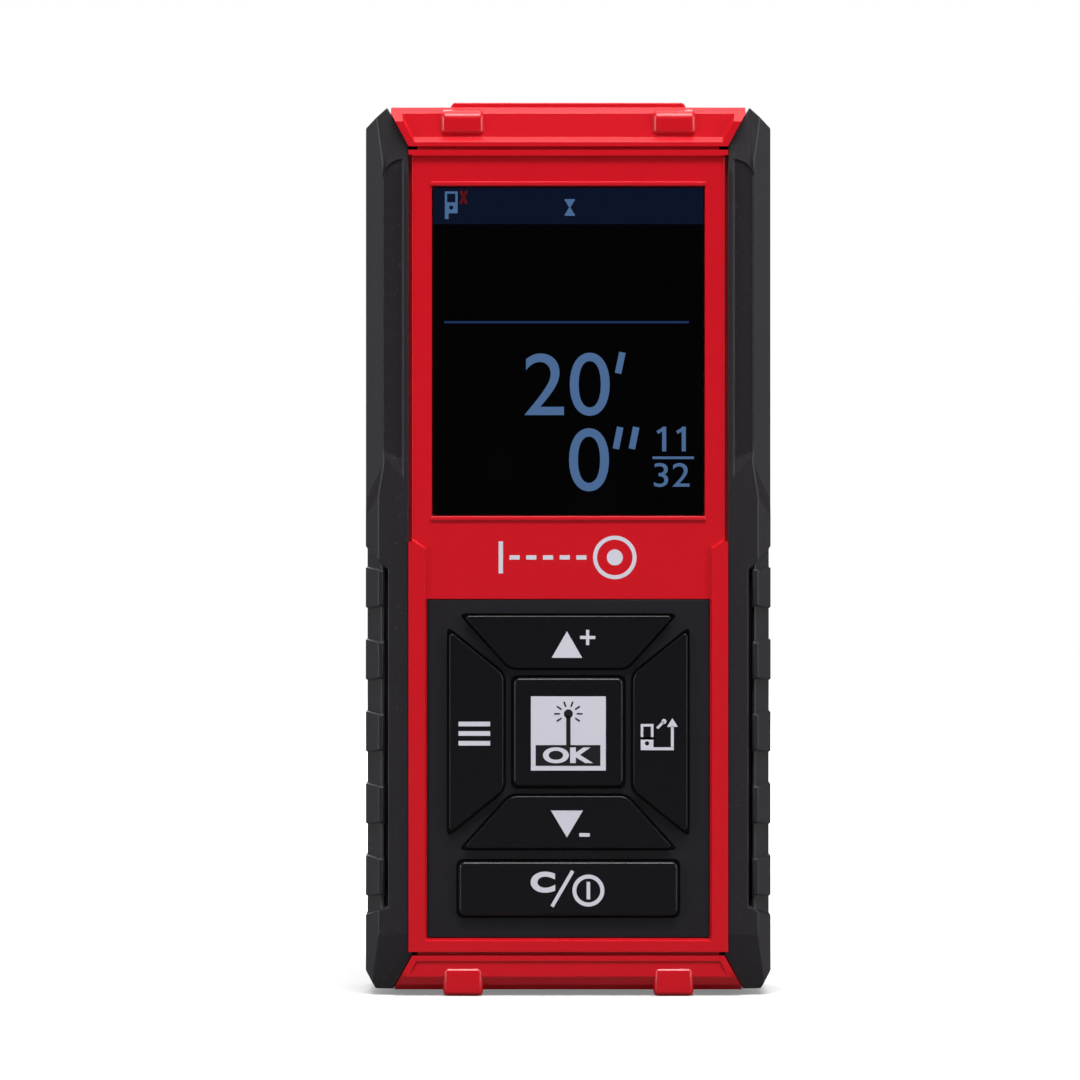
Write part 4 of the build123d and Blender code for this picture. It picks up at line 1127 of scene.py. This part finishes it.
class PrintMarks(bpy.types.Operator):
    """Prints the marks on the keys and the emblem between screen and keypad"""

    bl_idname = "meter.print_marks"
    bl_label = "Printed marks"

    def execute(self, context):
        ink = context.scene.meter_sizes.ink / MM
        light, dark = "pad_print_pale", "pad_print_black"
        for node, draw, layer, material in (
            ("key_up", mark_up, 0, light),
            ("key_down", mark_down, 0, light),
            ("key_menu", mark_menu, 0, light),
            ("key_reference", mark_reference, 0, light),
            ("key_power", mark_power, 0, light),
            ("key_ok", mark_ok, 0, light),
            ("key_ok", mark_ok_dark, 1, dark),
            ("key_ok", mark_ok_letters, 2, light),
        ):
            stencil = Stencil(corners(node)[0].y - layer * ink, ink)
            draw(stencil)
            place(stencil.finish(draw.__name__), node, "key_black", material)
        # Emblem: a dashed line of measure with an end mark and a target
        stencil = Stencil(PANEL_FRONT, ink)
        stencil.bar((-9.6, 58.2), (-9.0, 62.6))
        for dash in range(5):
            start = -8.1 + 2.3 * dash
            stencil.bar((start, 60.1), (start + 1.4, 60.7))
        stencil.ring((6.4, 60.4), 3.0, 2.45)
        stencil.disc((6.4, 60.4), 1.1)
        place(stencil.finish("emblem_print"), "meter", "key_black", light)
        return {"FINISHED"}


# Of a lit figure in front of the cover, in millimetres
LIT_THICKNESS = 0.012


class LightScreen(bpy.types.Operator):
    """Lights the screen: status bar with icons, dividing line and the measured length"""

    bl_idname = "meter.light_screen"
    bl_label = "Screen"

    def execute(self, context):
        low, high = corners("display_window")
        face, thin = low.y, LIT_THICKNESS
        bar = Stencil(face, thin)
        bar.bar((low.x + 0.05, 106.3), (high.x - 0.05, high.z - 0.05))
        place(bar.finish("screen_status_bar"), "meter", "screen", "lit_bar_navy")
        line = Stencil(face, thin)
        line.bar((-17.1, 92.65), (16.6, 92.95))
        place(line.finish("screen_divider"), "meter", "screen", "lit_line_blue")
        text = Stencil(face, thin)
        text.letters("2", (-6.0, 80.0), (-0.6, 88.5))
        text.letters("0", (0.2, 79.9), (5.7, 88.6))
        text.stroke((6.85, 85.75), (7.45, 88.65), 0.9)
        text.letters("0", (0.1, 69.5), (5.6, 78.2))
        text.stroke((6.55, 75.35), (7.15, 78.35), 0.9)
        text.stroke((8.75, 75.35), (9.35, 78.35), 0.9)
        for stem in (13.2, 15.9):
            text.bar((stem - 0.28, 75.0), (stem + 0.28, 78.4))
            text.stroke((stem - 0.95, 77.6), (stem + 0.05, 78.2), 0.45)
        text.bar((11.6, 73.95), (17.3, 74.3))
        text.letters("32", (11.8, 70.1), (16.7, 73.4))
        place(text.finish("screen_figures"), "meter", "screen", "lit_figures_blue")
        icons = Stencil(face - thin, thin)
        meter_icon(icons, -17.0, 107.8, 1.75, 3.0, 0.3)
        icons.bar((-17.0, 107.0), (-16.5, 107.8))
        icons.triangle((0.2, 108.45), 0.62, 109.5)
        icons.triangle((0.2, 108.75), 0.62, 107.7)
        for level in (107.45, 109.5):
            icons.bar((-0.5, level), (0.9, level + 0.25))
        place(icons.finish("screen_icons"), "meter", "screen", "lit_figures_blue")
        alert = Stencil(face - thin, thin)
        alert.stroke((-14.85, 109.1), (-14.0, 110.9), 0.35)
        alert.stroke((-14.85, 110.9), (-14.0, 109.1), 0.35)
        place(alert.finish("screen_alert"), "meter", "screen", "lit_mark_red")
        return {"FINISHED"}


# ---------------------------------------------------------------- studio


FLOOR_SIZE = 3.6
LAMP_TARGET_HEIGHT = 0.06


def seamless_paper():
    """White paper that glows for the camera alone, and glows less round the meter: a painted shade there
    deepens the contact shadow.
    """
    tree, shader, place_at = blank("seamless_paper_white")
    fibre = add(tree, "ShaderNodeTexNoise", {"Vector": place_at, "Scale": 1 / (2 * MM), "Detail": 2})
    seen = add(tree, "ShaderNodeLightPath").outputs["Is Camera Ray"]
    greys = {FACTOR: fibre.outputs["Fac"], FIRST: (0.62, 0.62, 0.62, 1), SECOND: (0.66, 0.66, 0.66, 1)}
    paper = add(tree, "ShaderNodeMix", greys, data_type="RGBA").outputs[MIXED]
    # It throws back little light, so that undersides stay dark
    greys = {FACTOR: seen, FIRST: (0.16, 0.16, 0.16, 1), SECOND: paper}
    tone = add(tree, "ShaderNodeMix", greys, data_type="RGBA")
    # Painted shade: the glow the camera sees is dimmed to 0.22 close to the meter and rises to full
    # strength 0.5 m away, a painted darkening round its foot
    away = add(tree, "ShaderNodeVectorMath", {0: place_at}, operation="LENGTH")
    reach = {"From Min": 0.05, "From Max": 0.5, "To Min": 0.22, "To Max": 1.0}
    glow = add(tree, "ShaderNodeMapRange", {"Value": away.outputs["Value"], **reach})
    glow_with_painted_shade = add(tree, "ShaderNodeMath", {0: seen, 1: glow.outputs["Result"]}, operation="MULTIPLY")
    look = {
        "Base Color": tone.outputs[MIXED],
        "Roughness": 0.95,
        "Specular IOR Level": 0,
        "Emission Color": (1, 1, 1, 1),
        "Emission Strength": glow_with_painted_shade.outputs[0],
    }
    feed(tree, shader, look)


def softbox(name, place_at, target, size, power):
    """Rectangular soft lamp that points at a target."""
    lamp = bpy.data.lights.new(name, "AREA")
    lamp.shape = "RECTANGLE"
    lamp.size, lamp.size_y = size
    lamp.energy = power
    holder = bpy.data.objects.new(name, lamp)
    holder.location = place_at
    holder.rotation_euler = (Vector(target) - Vector(place_at)).to_track_quat("-Z", "Y").to_euler()
    bpy.context.scene.collection.objects.link(holder)


class BuildStage(bpy.types.Operator):
    """Builds the pale floor, the soft lamps and the camera"""

    bl_idname = "meter.build_stage"
    bl_label = "Stage"

    def execute(self, context):
        scene = context.scene
        studio = scene.studio_settings
        deselect()
        bpy.ops.mesh.primitive_plane_add(size=FLOOR_SIZE, location=(0, 0, 0))
        floor = settle(context.object, "studio_floor")
        with editing(floor):
            bpy.ops.mesh.select_all(action="SELECT")
            bpy.ops.mesh.subdivide(number_cuts=4)
        seamless_paper()
        floor.data.materials.append(bpy.data.materials["seamless_paper_white"])
        target = (0, 0, LAMP_TARGET_HEIGHT)
        softbox("key_light", (0.12, -0.56, 1.22), target, (1.0, 0.35), studio.key_power)
        softbox("top_light", (0, 0.25, 1.2), target, (1.4, 1.0), studio.top_power)
        for side in SIDES:
            softbox("fill_light", (side * 1.0, -0.5, 0.2), target, (0.25, 0.8), studio.side_power)
            softbox("rim_light", (side * 1.1, 0.22, 0.3), target, (0.3, 0.9), studio.rim_power)
        softbox("back_light", (-0.2, 1.0, 0.8), target, (0.9, 0.6), studio.back_power)
        world = bpy.data.worlds.new("studio_room")
        world.use_nodes = True
        tree = world.node_tree
        tree.nodes.clear()
        seen = add(tree, "ShaderNodeBackground", {"Color": (1, 1, 1, 1), "Strength": 1.0})
        room = add(tree, "ShaderNodeBackground", {"Color": (1, 1, 1, 1), "Strength": studio.ambient})
        rays = add(tree, "ShaderNodeLightPath")
        both = add(
            tree,
            "ShaderNodeMixShader",
            {0: rays.outputs["Is Camera Ray"], 1: room.outputs[0], 2: seen.outputs[0]},
        )
        add(tree, "ShaderNodeOutputWorld", {"Surface": both.outputs[0]})
        scene.world = world
        scene.view_settings.view_transform = "Standard"
        front = corners("key_ok")[0].y * MM
        lens = bpy.data.cameras.new("camera")
        lens.sensor_width = 36
        lens.lens = lens.sensor_width * studio.distance / studio.view_height
        lens.clip_start, lens.clip_end = 0.05, 60
        camera = bpy.data.objects.new("camera", lens)
        camera.location = (studio.aim[0], front - studio.distance, studio.aim[1])
        camera.rotation_euler = (pi / 2, 0, 0)
        scene.collection.objects.link(camera)
        scene.camera = camera
        return {"FINISHED"}


# ---------------------------------------------------------------- sidebar and registration

STEPS = (
    BuildStage, MixMaterials, MakeHousings, MakeCaps, MakeGrips, MakeKeypad, PrintMarks, LightScreen
)


class METER_PT_sidebar(bpy.types.Panel):
    """Lists the steps that build the meter"""

    bl_label = "Laser Distance Meter"
    bl_space_type = "VIEW_3D"
    bl_region_type = "UI"
    bl_category = "Meter"

    def draw(self, context):
        for step in STEPS:
            self.layout.operator(step.bl_idname)


GROUPS = (
    ("meter_sizes", MeterSizes),
    ("meter_colours", MeterColours),
    ("studio_settings", StudioSettings),
)


def register():
    """Registers the settings, the steps and the panel."""
    for name, group in GROUPS:
        bpy.utils.register_class(group)
        setattr(bpy.types.Scene, name, bpy.props.PointerProperty(type=group))
    for step in (*STEPS, METER_PT_sidebar):
        bpy.utils.register_class(step)


def unregister():
    """Takes away what register added."""
    for step in (METER_PT_sidebar, *reversed(STEPS)):
        bpy.utils.unregister_class(step)
    for name, group in reversed(GROUPS):
        delattr(bpy.types.Scene, name)
        bpy.utils.unregister_class(group)


def main():
    """Registers everything and runs every step in order."""
    register()
    for step in STEPS:
        group, name = step.bl_idname.split(".")
        getattr(getattr(bpy.ops, group), name)()


if __name__ == "__main__":
    main()
